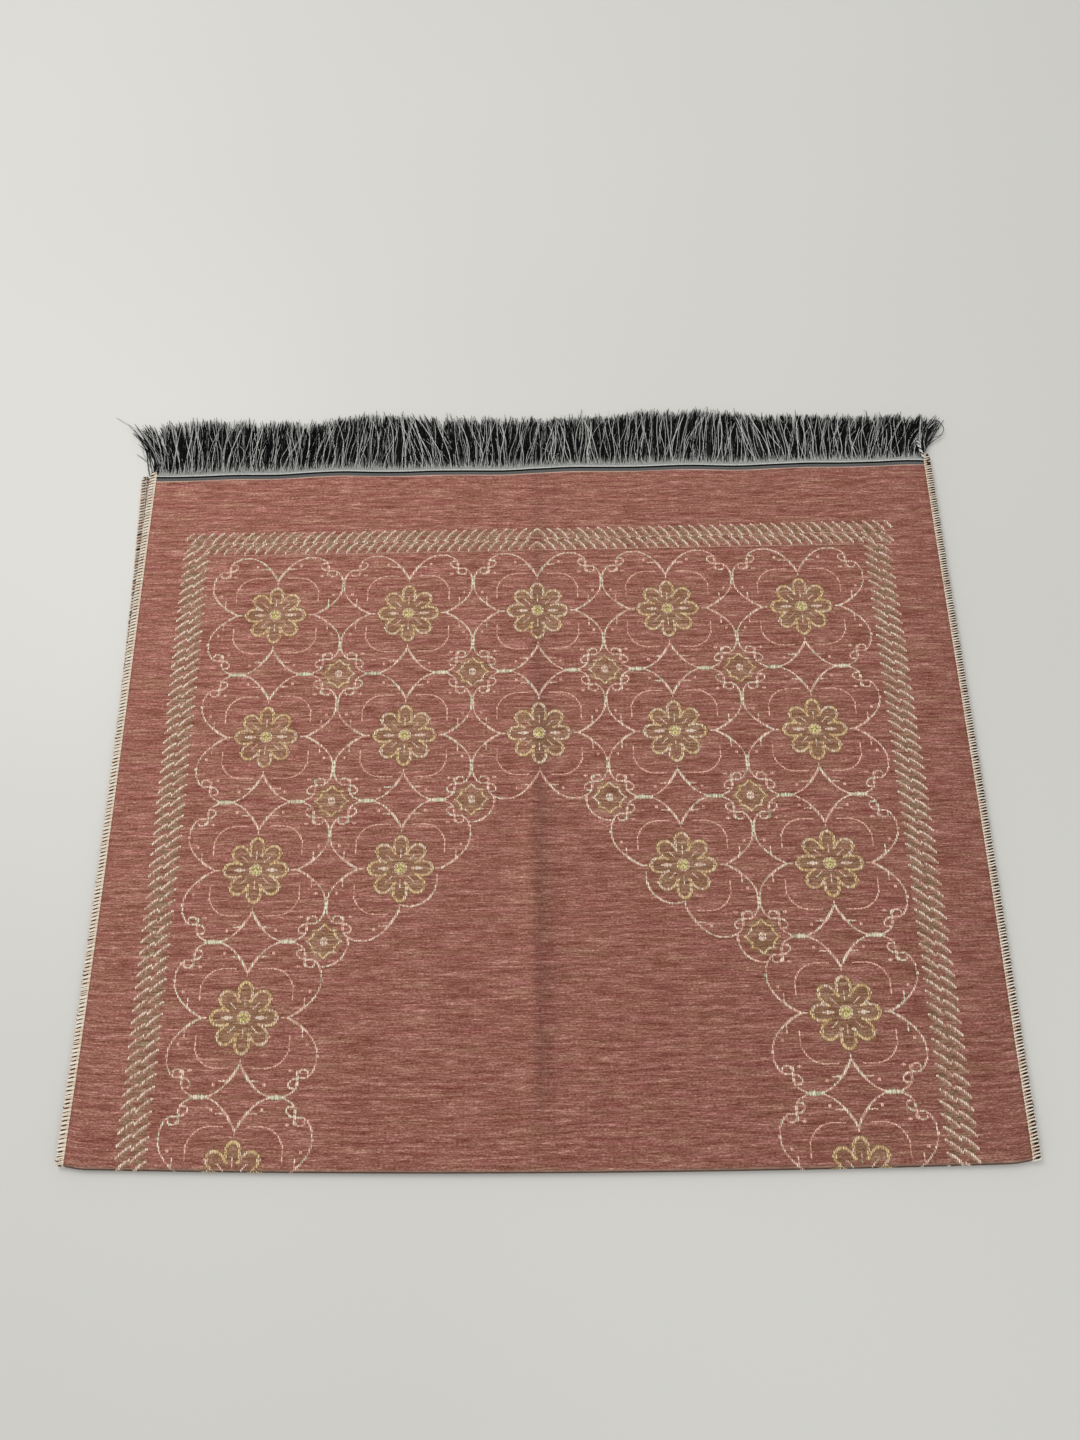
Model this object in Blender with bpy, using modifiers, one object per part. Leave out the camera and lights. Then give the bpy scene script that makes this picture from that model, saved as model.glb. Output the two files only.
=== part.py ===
"""A prayer rug of chenille jacquard cloth, folded once across its middle and lying flat.

Units are metres and +Z is up. The fold is at -Y, the two fringed ends lie one above the
other at +Y, and the origin is at the middle of the underside of the whole rug.
"""

import math
import random

import bmesh
import bpy
from mathutils import Vector

# Cloth: one piece, folded in half.
RUG_WIDTH = 0.700
FOLDED_LENGTH = 0.5715
CLOTH_THICKNESS = 0.0020
PIECE_GAP = 0.0003

# Heights of the cloth's middle plane.
LOWER_PLANE = CLOTH_THICKNESS / 2
FOLD_RADIUS = 0.0021
UPPER_SETTLED = 0.0040
SETTLE_START = 0.012
SETTLE_END = 0.085

# How the folded cloth departs from a flat rectangle.
LOWER_SKEW = 0.0080
LOWER_SKEW_LIFT = 0.0030
FRONT_BOW = 0.0045
FRONT_BOW_REACH = 0.22
CORNER_SETBACK = 0.0022
CORNER_WIDTH = 0.022
END_WAVE = 0.0006
END_WAVE_REACH = 0.06
END_WAVE_RATES = (27.0, 61.0)
SIDE_SWAY = 0.0009
SIDE_SWAY_RATE = 8.0

# The soft crease along the rug's middle, left by an earlier fold, and the faint ripples.
CREASE_ACROSS = -0.006
CREASE_HEIGHT = 0.0013
CREASE_LEFT_SLOPE = 0.020
CREASE_RIGHT_SLOPE = 0.009
CREASE_START = 0.045
CREASE_FADE = 0.45
CREASE_FADE_START = 0.28
CREASE_FADE_REACH = 0.20
RIPPLE_HEIGHT = 0.00045
RIPPLE_RATE_ACROSS = 21.0
RIPPLE_RATE_ALONG = 13.0
RIPPLE_SLANT = 0.43

# Overlock bindings along both long edges: a C section round the thinned edge of the cloth.
BINDING_WIDTH = 0.0068
BINDING_THICKNESS = 0.0024
BINDING_WALL = 0.0010
BINDING_OVERRUN = 0.0110
TONGUE_THICKNESS = 0.0007
TONGUE_SHOULDER = BINDING_WIDTH + PIECE_GAP
TONGUE_INSET = BINDING_WALL + PIECE_GAP
SHOULDER_WIDTH = 0.0006
EDGE_LIFT = (BINDING_THICKNESS - CLOTH_THICKNESS) / 2
EDGE_LIFT_WIDTH = 0.040

# Outside of a binding, lip to side: (fraction of its width, fraction of half its thickness).
BINDING_OUTSIDE = [
    (1.00, 0.85),
    (0.45, 1.00),
    (0.07, 0.80),
    (0.00, 0.30),
]

# Woven heading strips and the warp strands that hang from them.
HEADING_WIDTH = 0.0095
HEADING_THICKNESS = 0.0013
STRANDS_PER_FRINGE = 138
STRAND_ROOT_WIDTH = 0.0031
STRAND_TIP_SHIFT_SPREAD = 0.0005
STRAND_REACH_SPREAD = 0.0014
STRAND_CURVE = 1.6
STRAND_MARGIN = 0.0025

# Each strand, root to tip: (fraction of its reach, width factor, height,
# height above the floor of the upper fringe's strands).
STRAND_STATIONS = [
    (0.00, 1.00, 0.0013, None),
    (0.34, 0.94, 0.0013, 0.0026),
    (0.70, 0.76, 0.0012, 0.0020),
    (1.00, 0.36, 0.0008, 0.0017),
]

# How the fringes are combed: (place across the rug, sideways shift of the tips, reach).
UPPER_COMBING = [
    (-0.339, -0.0270, 0.0450),
    (-0.328, -0.0100, 0.0490),
    (-0.300, -0.0030, 0.0500),
    (-0.265, 0.0020, 0.0480),
    (-0.225, 0.0060, 0.0490),
    (-0.180, 0.0050, 0.0520),
    (-0.150, 0.0030, 0.0550),
    (-0.095, -0.0130, 0.0510),
    (-0.075, -0.0110, 0.0500),
    (-0.045, -0.0010, 0.0490),
    (-0.015, 0.0030, 0.0480),
    (0.012, 0.0000, 0.0450),
    (0.035, 0.0030, 0.0490),
    (0.055, -0.0010, 0.0450),
    (0.080, 0.0060, 0.0520),
    (0.150, 0.0060, 0.0520),
    (0.200, -0.0060, 0.0470),
    (0.225, 0.0010, 0.0440),
    (0.270, 0.0080, 0.0420),
    (0.315, 0.0090, 0.0410),
    (0.335, 0.0120, 0.0400),
    (0.339, 0.0180, 0.0370),
]
LOWER_COMBING = [
    (-0.339, -0.0140, 0.0430),
    (-0.325, -0.0040, 0.0450),
    (-0.240, -0.0030, 0.0470),
    (-0.190, 0.0020, 0.0460),
    (-0.120, -0.0050, 0.0490),
    (-0.060, 0.0030, 0.0470),
    (0.000, -0.0020, 0.0450),
    (0.070, 0.0040, 0.0470),
    (0.140, -0.0020, 0.0470),
    (0.230, 0.0040, 0.0430),
    (0.310, 0.0050, 0.0400),
    (0.339, 0.0100, 0.0370),
]

# Places along and across the cloth where its mesh has rows and columns.
FIELD_COLUMNS = [0.072, 0.110, 0.165, 0.220, 0.270, 0.318]
CREASE_COLUMNS = [-0.045, -0.024, -0.013, -0.006, 0.001, 0.009, 0.022]
UPPER_ROWS = [0.0, 0.030, 0.080, 0.135, 0.190, 0.245, 0.300, 0.355]
UPPER_ROWS += [0.405, 0.450, 0.485, 0.510, 0.530, 0.545, 0.556]
LOWER_ROWS = [0.010, 0.060, 0.150, 0.260, 0.370, 0.480]
FOLD_STEPS = 8

UPPER_RUN = FOLDED_LENGTH - FOLD_RADIUS
FOLD_RUN = math.pi * FOLD_RADIUS
WHOLE_RUN = 2 * UPPER_RUN + FOLD_RUN
HALF_WIDTH = RUG_WIDTH / 2
FULL_BODY_EDGE = HALF_WIDTH - TONGUE_SHOULDER - SHOULDER_WIDTH / 2
STRAND_PITCH = (RUG_WIDTH - 2 * TONGUE_SHOULDER - 2 * STRAND_MARGIN) / STRANDS_PER_FRINGE


def ease(value):
    """A smooth step from 0 to 1 while value goes from 0 to 1."""
    held = min(max(value, 0.0), 1.0)
    return held * held * (3.0 - 2.0 * held)


def combed(table, across):
    """Tip shift and reach at one place, eased between the rows of a combing table."""
    for left, right in zip(table, table[1:]):
        if across <= right[0]:
            blend = ease((across - left[0]) / (right[0] - left[0]))
            shift = left[1] + (right[1] - left[1]) * blend
            return shift, left[2] + (right[2] - left[2]) * blend
    return table[-1][1], table[-1][2]


def crease_height(across, along):
    """Height of the middle crease and of the soft ripples in the upper layer."""
    offset = across - CREASE_ACROSS
    slope = CREASE_LEFT_SLOPE if offset < 0 else CREASE_RIGHT_SLOPE
    strength = 1.0 - CREASE_FADE * ease((along - CREASE_FADE_START) / CREASE_FADE_REACH)
    crease = CREASE_HEIGHT * strength / (1.0 + (offset / slope) ** 2)
    slanted = across + RIPPLE_SLANT * along
    ripple = math.sin(RIPPLE_RATE_ACROSS * slanted) * math.sin(RIPPLE_RATE_ALONG * along)
    return crease + RIPPLE_HEIGHT * (1.0 + ripple)


def middle_point(across, run):
    """The cloth's middle surface: across from its centre line, and the run from its upper end."""
    edge = abs(across) / HALF_WIDTH
    inset = HALF_WIDTH - abs(across)
    x = across
    if run <= UPPER_RUN:
        y = FOLDED_LENGTH - run
        settle = ease((y - SETTLE_START) / (SETTLE_END - SETTLE_START))
        fold_top = LOWER_PLANE + 2 * FOLD_RADIUS
        z = fold_top + (UPPER_SETTLED - fold_top) * settle
        z += crease_height(across, y) * ease(y / CREASE_START) * ease(inset / EDGE_LIFT_WIDTH)
    elif run < UPPER_RUN + FOLD_RUN:
        angle = (run - UPPER_RUN) / FOLD_RADIUS
        y = FOLD_RADIUS - FOLD_RADIUS * math.sin(angle)
        z = LOWER_PLANE + FOLD_RADIUS + FOLD_RADIUS * math.cos(angle)
    else:
        y = run - UPPER_RUN - FOLD_RUN + FOLD_RADIUS
        z = LOWER_PLANE
        along = y / FOLDED_LENGTH
        x -= LOWER_SKEW * along
        y += LOWER_SKEW_LIFT * along * across / HALF_WIDTH
    z += EDGE_LIFT * (1.0 - ease((inset - TONGUE_SHOULDER) / EDGE_LIFT_WIDTH))
    near_fold = 1.0 - ease(y / FRONT_BOW_REACH)
    corner = 1.0 - ease(inset / CORNER_WIDTH)
    end = ease((y - FOLDED_LENGTH + END_WAVE_REACH) / END_WAVE_REACH)
    wave = END_WAVE * sum(math.sin(rate * across) for rate in END_WAVE_RATES)
    x += SIDE_SWAY * math.sin(SIDE_SWAY_RATE * y) * ease((edge - 0.5) * 2.0)
    y += near_fold * (CORNER_SETBACK * corner - FRONT_BOW * (1.0 - edge * edge)) + end * wave
    return Vector((x, y, z))


def outward_normal(across, run):
    """Unit normal on the face side: up on the upper layer, down on the lower one."""
    step = 0.0001
    sideways = middle_point(across + step, run) - middle_point(across - step, run)
    lengthways = middle_point(across, run + step) - middle_point(across, run - step)
    return lengthways.cross(sideways).normalized()


def cloth_point(across, run, height):
    return middle_point(across, run) + outward_normal(across, run) * height


def cloth_columns():
    """Column places: both thinned edges, an even field, and closer ones at the crease."""
    tongue = HALF_WIDTH - TONGUE_INSET
    shoulder = HALF_WIDTH - TONGUE_SHOULDER
    half = [tongue, shoulder, shoulder - SHOULDER_WIDTH] + FIELD_COLUMNS
    return sorted([-place for place in half] + CREASE_COLUMNS + half)


def cloth_runs():
    """Row places along the run: upper layer, fold and lower layer."""
    fold = [UPPER_RUN + FOLD_RUN * step / FOLD_STEPS for step in range(FOLD_STEPS + 1)]
    lower_start = UPPER_RUN + FOLD_RUN
    return UPPER_ROWS + fold + [lower_start + row for row in LOWER_ROWS] + [WHOLE_RUN]


def add_object(name, mesh_data, collection, material, origin):
    part = bpy.data.objects.new(name, mesh_data)
    part.parent = origin
    part.data.materials.append(material)
    collection.objects.link(part)
    return part


def mesh_from(building, name):
    """Finish a bmesh: faces outwards, then a mesh of it."""
    bmesh.ops.recalc_face_normals(building, faces=building.faces)
    mesh_data = bpy.data.meshes.new(name)
    building.to_mesh(mesh_data)
    building.free()
    return mesh_data


def make_material(name, colour, roughness):
    material = bpy.data.materials.new(name)
    material.use_nodes = True
    shader = material.node_tree.nodes["Principled BSDF"]
    shader.inputs["Base Color"].default_value = (*colour, 1.0)
    shader.inputs["Roughness"].default_value = roughness
    shader.inputs["Metallic"].default_value = 0.0
    material.diffuse_color = (*colour, 1.0)
    return material


def make_cloth(collection, material, origin):
    """The folded cloth: a grid laid on the middle surface, thickened by Solidify."""
    columns = cloth_columns()
    runs = cloth_runs()
    building = bmesh.new()
    bmesh.ops.create_grid(
        building, x_segments=len(columns) - 1, y_segments=len(runs) - 1, size=1.0
    )
    body_points = []
    for index, vertex in enumerate(building.verts):
        column = round((vertex.co.x + 1.0) / 2.0 * (len(columns) - 1))
        row = round((vertex.co.y + 1.0) / 2.0 * (len(runs) - 1))
        if abs(columns[column]) < FULL_BODY_EDGE:
            body_points.append(index)
        vertex.co = middle_point(columns[column], runs[row])
    for face in building.faces:
        face.smooth = True
    mesh_data = bpy.data.meshes.new("rug_cloth")
    building.to_mesh(mesh_data)
    building.free()
    cloth = add_object("rug_cloth", mesh_data, collection, material, origin)
    body = cloth.vertex_groups.new(name="full_thickness")
    body.add(body_points, 1.0, "REPLACE")
    shell = cloth.modifiers.new("thickness", "SOLIDIFY")
    shell.thickness = CLOTH_THICKNESS
    shell.offset = 0.0
    shell.vertex_group = body.name
    shell.thickness_vertex_group = TONGUE_THICKNESS / CLOTH_THICKNESS
    return cloth


def binding_section():
    """The C section of a binding: (inset from the rug's side, height off the middle surface)."""
    outer = BINDING_THICKNESS / 2
    slot = TONGUE_THICKNESS / 2 + PIECE_GAP
    upper_half = [(BINDING_WALL, slot), (BINDING_WIDTH, slot)]
    upper_half += [(BINDING_WIDTH * across, outer * high) for across, high in BINDING_OUTSIDE]
    lower_half = [(inset, -height) for inset, height in reversed(upper_half)]
    return upper_half + lower_half


def make_binding(name, side, collection, material, origin):
    """A binding swept along one long edge, round the fold, past both ends of the cloth."""
    section = binding_section()
    runs = [-BINDING_OVERRUN] + cloth_runs() + [WHOLE_RUN + BINDING_OVERRUN]
    building = bmesh.new()
    rings = []
    for run in runs:
        ring = []
        for inset, height in section:
            point = cloth_point(side * (HALF_WIDTH - inset), run, height)
            ring.append(building.verts.new(point))
        rings.append(ring)
    count = len(section)
    for before, after in zip(rings, rings[1:]):
        for place in range(count):
            beyond = (place + 1) % count
            building.faces.new((before[place], before[beyond], after[beyond], after[place]))
    building.faces.new(rings[0])
    building.faces.new(rings[-1])
    mesh_data = mesh_from(building, name)
    binding = add_object(name, mesh_data, collection, material, origin)
    mesh_data.shade_smooth()
    mesh_data.set_sharp_from_angle(angle=math.radians(40))
    return binding


def heading_heights(across, run, rests):
    """Lowest and highest point of a heading strip, thin where it enters a binding."""
    middle = middle_point(across, run).z
    if abs(across) > FULL_BODY_EDGE:
        return middle - TONGUE_THICKNESS / 2, middle + TONGUE_THICKNESS / 2
    below = middle if rests else HEADING_THICKNESS / 2
    return middle - below, middle - below + HEADING_THICKNESS


def heading_point(across, run, height):
    place = middle_point(across, run)
    return Vector((place.x, place.y, height))


def strand_gap_place(strands_before):
    """Place across the rug of the gap that has this many strands before it."""
    return STRAND_PITCH * (strands_before - STRANDS_PER_FRINGE / 2)


def heading_columns():
    """A heading strip's columns: (near edge's place, far edge's place, strands before it)."""
    outermost = strand_gap_place(STRANDS_PER_FRINGE)
    columns = []
    for place in cloth_columns():
        if abs(place) > outermost:
            columns.append((place, place, 0 if place < 0 else STRANDS_PER_FRINGE))
        else:
            before = round(place / STRAND_PITCH + STRANDS_PER_FRINGE / 2)
            columns.append((place, strand_gap_place(before), before))
    return columns


def grow_strand(building, root, shift, reach, rests):
    """Extrude one three-sided strand from its root face, laid along its combed path."""
    corners = sorted((vertex.co.copy() for vertex in root.verts), key=lambda corner: corner.z)
    centre = (corners[0].x + corners[1].x) / 2
    start = corners[0]
    face = root
    for fraction, width, height, upper_floor in STRAND_STATIONS[1:]:
        face = bmesh.ops.extrude_discrete_faces(building, faces=[face])["faces"][0]
        x = centre + shift * fraction**STRAND_CURVE
        y = start.y + reach * fraction
        floor = start.z if rests else upper_floor
        half = STRAND_ROOT_WIDTH * width / 2
        low_left, low_right, top = sorted(face.verts, key=lambda vertex: vertex.co.z)
        if low_left.co.x > low_right.co.x:
            low_left, low_right = low_right, low_left
        low_left.co = (x - half, y, floor)
        low_right.co = (x + half, y, floor)
        top.co = (x, y, floor + height)


def make_fringe(name, end_run, direction, rests, combing, seed, collection, material, origin):
    """A heading strip past one end of the cloth, with its strands standing apart.

    end_run is the cloth's end, direction is the way past it, and rests tells whether the
    strip and its strands lie on the floor.
    """
    near_run = end_run + direction * PIECE_GAP
    far_run = near_run + direction * HEADING_WIDTH
    building = bmesh.new()

    def add_pair(across, run):
        low, high = heading_heights(across, run, rests)
        bottom = building.verts.new(heading_point(across, run, low))
        return bottom, building.verts.new(heading_point(across, run, high))

    columns = heading_columns()
    near = [add_pair(near_place, near_run) for near_place, _, _ in columns]
    far = [add_pair(far_place, far_run) for _, far_place, _ in columns]
    roots = []
    for index in range(len(columns) - 1):
        near_low, near_high = near[index]
        next_low, next_high = near[index + 1]
        bottoms = [far[index][0]]
        tops = [far[index][1]]
        for strand in range(columns[index][2], columns[index + 1][2]):
            across = strand_gap_place(strand + 0.5)
            low, high = heading_heights(across, far_run, rests)
            half = STRAND_ROOT_WIDTH / 2
            left = building.verts.new(heading_point(across - half, far_run, low))
            right = building.verts.new(heading_point(across + half, far_run, low))
            top = building.verts.new(heading_point(across, far_run, high))
            roots.append((building.faces.new((left, right, top)), across))
            building.faces.new((bottoms[-1], left, top, tops[-1]))
            bottoms += [left, right]
            tops.append(top)
        bottoms.append(far[index + 1][0])
        tops.append(far[index + 1][1])
        building.faces.new((bottoms[-2], bottoms[-1], tops[-1], tops[-2]))
        building.faces.new([next_low, near_low] + bottoms)
        building.faces.new([near_high, next_high] + tops[::-1])
        building.faces.new((near_low, next_low, next_high, near_high))
    for side in (0, -1):
        building.faces.new((near[side][0], near[side][1], far[side][1], far[side][0]))
    random_source = random.Random(seed)
    for root, across in roots:
        shift, reach = combed(combing, across)
        shift += random_source.uniform(-1.0, 1.0) * STRAND_TIP_SHIFT_SPREAD
        reach += random_source.uniform(-1.0, 1.0) * STRAND_REACH_SPREAD
        grow_strand(building, root, shift, reach, rests)
    return add_object(name, mesh_from(building, name), collection, material, origin)


def centre_origin(origin, parts):
    """Move the rug so that the world origin is at the middle of its underside."""
    bpy.context.view_layer.update()
    graph = bpy.context.evaluated_depsgraph_get()
    corners = []
    for part in parts:
        evaluated = part.evaluated_get(graph)
        corners += [evaluated.matrix_world @ Vector(corner) for corner in evaluated.bound_box]
    low = [min(corner[axis] for corner in corners) for axis in range(3)]
    high = [max(corner[axis] for corner in corners) for axis in range(3)]
    origin.location = (-(low[0] + high[0]) / 2, -(low[1] + high[1]) / 2, -low[2])


def main():
    for old in list(bpy.data.objects):
        bpy.data.objects.remove(old, do_unlink=True)
    collection = bpy.data.collections.new("prayer_rug")
    bpy.context.scene.collection.children.link(collection)
    origin = bpy.data.objects.new("rug_origin", None)
    collection.objects.link(origin)
    rose = make_material("rose_chenille", (0.33, 0.155, 0.115), 0.92)
    cream = make_material("cream_overlock", (0.56, 0.43, 0.34), 0.85)
    grey = make_material("grey_warp", (0.17, 0.17, 0.165), 0.8)
    parts = [
        make_cloth(collection, rose, origin),
        make_binding("binding_left", -1, collection, cream, origin),
        make_binding("binding_right", 1, collection, cream, origin),
        make_fringe("fringe_upper", 0.0, -1, False, UPPER_COMBING, 3, collection, grey, origin),
        make_fringe("fringe_lower", WHOLE_RUN, 1, True, LOWER_COMBING, 5, collection, grey, origin),
    ]
    centre_origin(origin, parts)


main()
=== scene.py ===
import math

import bpy
import numpy as np
from mathutils import Matrix, Vector


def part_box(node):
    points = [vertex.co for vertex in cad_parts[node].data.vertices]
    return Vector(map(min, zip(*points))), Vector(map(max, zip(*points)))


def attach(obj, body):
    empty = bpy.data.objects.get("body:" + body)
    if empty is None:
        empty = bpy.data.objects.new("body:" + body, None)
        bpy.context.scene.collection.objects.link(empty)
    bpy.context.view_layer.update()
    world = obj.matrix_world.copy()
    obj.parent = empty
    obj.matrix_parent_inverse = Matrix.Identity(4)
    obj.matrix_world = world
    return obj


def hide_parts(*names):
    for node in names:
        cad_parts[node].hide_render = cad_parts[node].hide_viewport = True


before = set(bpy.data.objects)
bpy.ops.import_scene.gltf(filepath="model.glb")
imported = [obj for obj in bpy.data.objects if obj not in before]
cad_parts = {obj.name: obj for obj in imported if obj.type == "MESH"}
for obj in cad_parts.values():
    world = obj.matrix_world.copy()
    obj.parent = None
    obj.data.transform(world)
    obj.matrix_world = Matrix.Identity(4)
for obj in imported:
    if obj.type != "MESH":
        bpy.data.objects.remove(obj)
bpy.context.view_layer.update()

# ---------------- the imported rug's own sizes
MM = 0.001
RUG_WIDTH = 0.700
FOLDED_LENGTH = 0.5715
CLOTH_THICKNESS = 0.0020
PIECE_GAP = 0.0003
LOWER_PLANE = CLOTH_THICKNESS / 2
FOLD_RADIUS = 0.0021
UPPER_SETTLED = 0.0040
SETTLE_START = 0.012
SETTLE_END = 0.085
LOWER_SKEW = 0.0080
LOWER_SKEW_LIFT = 0.0030
LOWER_SKEW_GROWTH = 3.6
FRONT_BOW = 0.0045
FRONT_BOW_REACH = 0.22
CORNER_SETBACK = 0.0022
CORNER_WIDTH = 0.022
END_WAVE = 0.0006
END_WAVE_REACH = 0.06
END_WAVE_RATES = (27.0, 61.0)
SIDE_SWAY = 0.0009
SIDE_SWAY_RATE = 8.0
CREASE_ACROSS = -0.006
CREASE_HEIGHT = 0.0013
CREASE_LEFT_SLOPE = 0.020
CREASE_RIGHT_SLOPE = 0.009
CREASE_START = 0.045
CREASE_FADE = 0.45
CREASE_FADE_START = 0.28
CREASE_FADE_REACH = 0.20
RIPPLE_HEIGHT = 0.00045
RIPPLE_RATE_ACROSS = 21.0
RIPPLE_RATE_ALONG = 13.0
RIPPLE_SLANT = 0.43
BINDING_WIDTH = 0.0068
BINDING_THICKNESS = 0.0024
BINDING_OVERRUN = 0.0110
TONGUE_THICKNESS = 0.0007
TONGUE_SHOULDER = BINDING_WIDTH + PIECE_GAP
TONGUE_INSET = 0.0013
EDGE_LIFT = (BINDING_THICKNESS - CLOTH_THICKNESS) / 2
EDGE_LIFT_WIDTH = 0.040
HEADING_WIDTH = 0.0095
HEADING_THICKNESS = 0.0013

UPPER_RUN = FOLDED_LENGTH - FOLD_RADIUS
FOLD_RUN = math.pi * FOLD_RADIUS
WHOLE_RUN = 2 * UPPER_RUN + FOLD_RUN
HALF_WIDTH = RUG_WIDTH / 2


# ---------------- the rug's surface
def ease(value):
    held = np.clip(value, 0.0, 1.0)
    return held * held * (3.0 - 2.0 * held)


def crease_height(across, along):
    offset = across - CREASE_ACROSS
    slope = np.where(offset < 0, CREASE_LEFT_SLOPE, CREASE_RIGHT_SLOPE)
    strength = 1.0 - CREASE_FADE * ease((along - CREASE_FADE_START) / CREASE_FADE_REACH)
    crease = CREASE_HEIGHT * strength / (1.0 + (offset / slope) ** 2)
    slanted = across + RIPPLE_SLANT * along
    ripple = np.sin(RIPPLE_RATE_ACROSS * slanted) * np.sin(RIPPLE_RATE_ALONG * along)
    return crease + RIPPLE_HEIGHT * (1.0 + ripple)


def middle_points(across, run):
    """The cloth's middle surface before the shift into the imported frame, as rows of x, y, z."""
    across, run = np.broadcast_arrays(np.asarray(across, float), np.asarray(run, float))
    edge = np.abs(across) / HALF_WIDTH
    inset = HALF_WIDTH - np.abs(across)
    upper = run <= UPPER_RUN
    lower = run >= UPPER_RUN + FOLD_RUN
    turn = np.clip((run - UPPER_RUN) / FOLD_RADIUS, 0.0, math.pi)
    y = FOLD_RADIUS - FOLD_RADIUS * np.sin(turn)
    y = np.where(upper, FOLDED_LENGTH - run, y)
    y = np.where(lower, run - UPPER_RUN - FOLD_RUN + FOLD_RADIUS, y)
    settle = ease((y - SETTLE_START) / (SETTLE_END - SETTLE_START))
    fold_top = LOWER_PLANE + 2 * FOLD_RADIUS
    upper_z = fold_top + (UPPER_SETTLED - fold_top) * settle
    upper_z += crease_height(across, y) * ease(y / CREASE_START) * ease(inset / EDGE_LIFT_WIDTH)
    z = LOWER_PLANE + FOLD_RADIUS + FOLD_RADIUS * np.cos(turn)
    z = np.where(upper, upper_z, np.where(lower, LOWER_PLANE, z))
    along = np.where(lower, y / FOLDED_LENGTH, 0.0)
    x = across - LOWER_SKEW * along**LOWER_SKEW_GROWTH
    y = y + LOWER_SKEW_LIFT * along * across / HALF_WIDTH
    z = z + EDGE_LIFT * (1.0 - ease((inset - TONGUE_SHOULDER) / EDGE_LIFT_WIDTH))
    near_fold = 1.0 - ease(y / FRONT_BOW_REACH)
    corner = 1.0 - ease(inset / CORNER_WIDTH)
    end = ease((y - FOLDED_LENGTH + END_WAVE_REACH) / END_WAVE_REACH)
    wave = END_WAVE * sum(np.sin(rate * across) for rate in END_WAVE_RATES)
    x = x + SIDE_SWAY * np.sin(SIDE_SWAY_RATE * y) * ease((edge - 0.5) * 2.0)
    bow = CORNER_SETBACK * corner - FRONT_BOW * (1.0 - edge * edge)
    y = y + near_fold * bow + end * wave
    return np.stack([x, y, z], axis=-1)


NORMAL_STEP = 0.0001
cloth_low, cloth_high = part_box("rug_cloth")
edge_line = middle_points(HALF_WIDTH - TONGUE_INSET, np.linspace(0.0, UPPER_RUN, 400))
FRAME_SHIFT = np.array(
    [
        cloth_high.x - edge_line[:, 0].max(),
        cloth_low.y + FRONT_BOW + CLOTH_THICKNESS / 2,
        cloth_low.z,
    ]
)


def on_cloth(across, run, height):
    """Points this high over the middle surface, on the face side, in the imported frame."""
    across, run, height = np.broadcast_arrays(
        np.asarray(across, float), np.asarray(run, float), np.asarray(height, float)
    )
    sideways, lengthways = (
        middle_points(across + x, run + y) - middle_points(across - x, run - y)
        for x, y in ((NORMAL_STEP, 0.0), (0.0, NORMAL_STEP))
    )
    normal = np.cross(lengthways, sideways)
    normal /= np.linalg.norm(normal, axis=-1, keepdims=True)
    return middle_points(across, run) + normal * height[..., None] + FRAME_SHIFT


def face_down(run):
    """Where the cloth has turned over the fold, so that its face lies on the floor."""
    return run > UPPER_RUN + FOLD_RUN / 2


def off_floor(run, height, most):
    """Heights on the face side, kept clear of the floor where the cloth lies face down."""
    return np.where(face_down(run), np.minimum(height, most), height)


# ---------------- pieces and their faces
FLIPPED = [0, 3, 2, 1]


def link(name, data):
    made = bpy.data.objects.new(name, data)
    bpy.context.scene.collection.objects.link(made)
    return made


def link_piece(name, points, faces, material, **maps):
    """A smooth mesh; a map has a place for each point, or for each corner of the faces."""
    mesh = bpy.data.meshes.new(name)
    mesh.from_pydata(points.tolist(), [], faces if isinstance(faces, list) else faces.tolist())
    mesh.shade_smooth()
    mesh.materials.append(material)
    corners = np.empty(len(mesh.loops), np.int32)
    mesh.loops.foreach_get("vertex_index", corners)
    for map_name, places in maps.items():
        places = places if len(places) == len(corners) else places[corners]
        mesh.uv_layers.new(name=map_name).data.foreach_set("uv", places.ravel())
    return link(name, mesh)


def root_piece(name, points, faces, material, node=None, slot=None, **maps):
    """A piece on the rug's one body, which may replace a node; the slot is not used."""
    piece = link_piece(name, points, faces, material, **maps)
    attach(piece, "root")
    if node:
        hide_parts(node)
    return piece


def grid_faces(index):
    """Quads between neighbours along the last two axes of an array of point numbers."""
    corners = index[..., :-1, :-1], index[..., :-1, 1:], index[..., 1:, 1:], index[..., 1:, :-1]
    return np.stack([corner.ravel() for corner in corners], 1)


def slab_piece(name, sides, places, own_map, bake, flip, material, node=None, slot=None):
    """A closed slab between two like grids of points, with its own map and one to bake."""
    index = np.arange(places[..., 0].size).reshape(places.shape[:2])
    back = index.size
    rim = np.concatenate([index[0], index[1:, -1], index[-1, -2::-1], index[-2:0:-1, 0]])
    after = np.roll(rim, -1)
    front = grid_faces(index)[:, FLIPPED]
    walls = np.stack([rim, after, after + back, rim + back], 1)
    faces = np.concatenate([front, grid_faces(index + back), walls])
    faces = faces[:, FLIPPED] if flip else faces
    corners = np.concatenate([places.reshape(-1, 2)] * 2)[faces.ravel()]
    spread, stops, front_rows, back_rows = bake
    front_row = np.interp(corners[:, 1], stops, front_rows)
    back_row = np.interp(corners[:, 1], (stops[0], stops[-1]), back_rows)
    row = np.where(np.arange(len(corners)) < front.size, front_row, back_row)
    bake_places = np.stack([0.5 + corners[:, 0] / RUG_WIDTH * spread, row], 1)
    maps = {own_map: corners, "OFBake": bake_places}
    points = np.concatenate([side.reshape(-1, 3) for side in sides])
    return root_piece(name, points, faces, material, node, slot, **maps)


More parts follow.
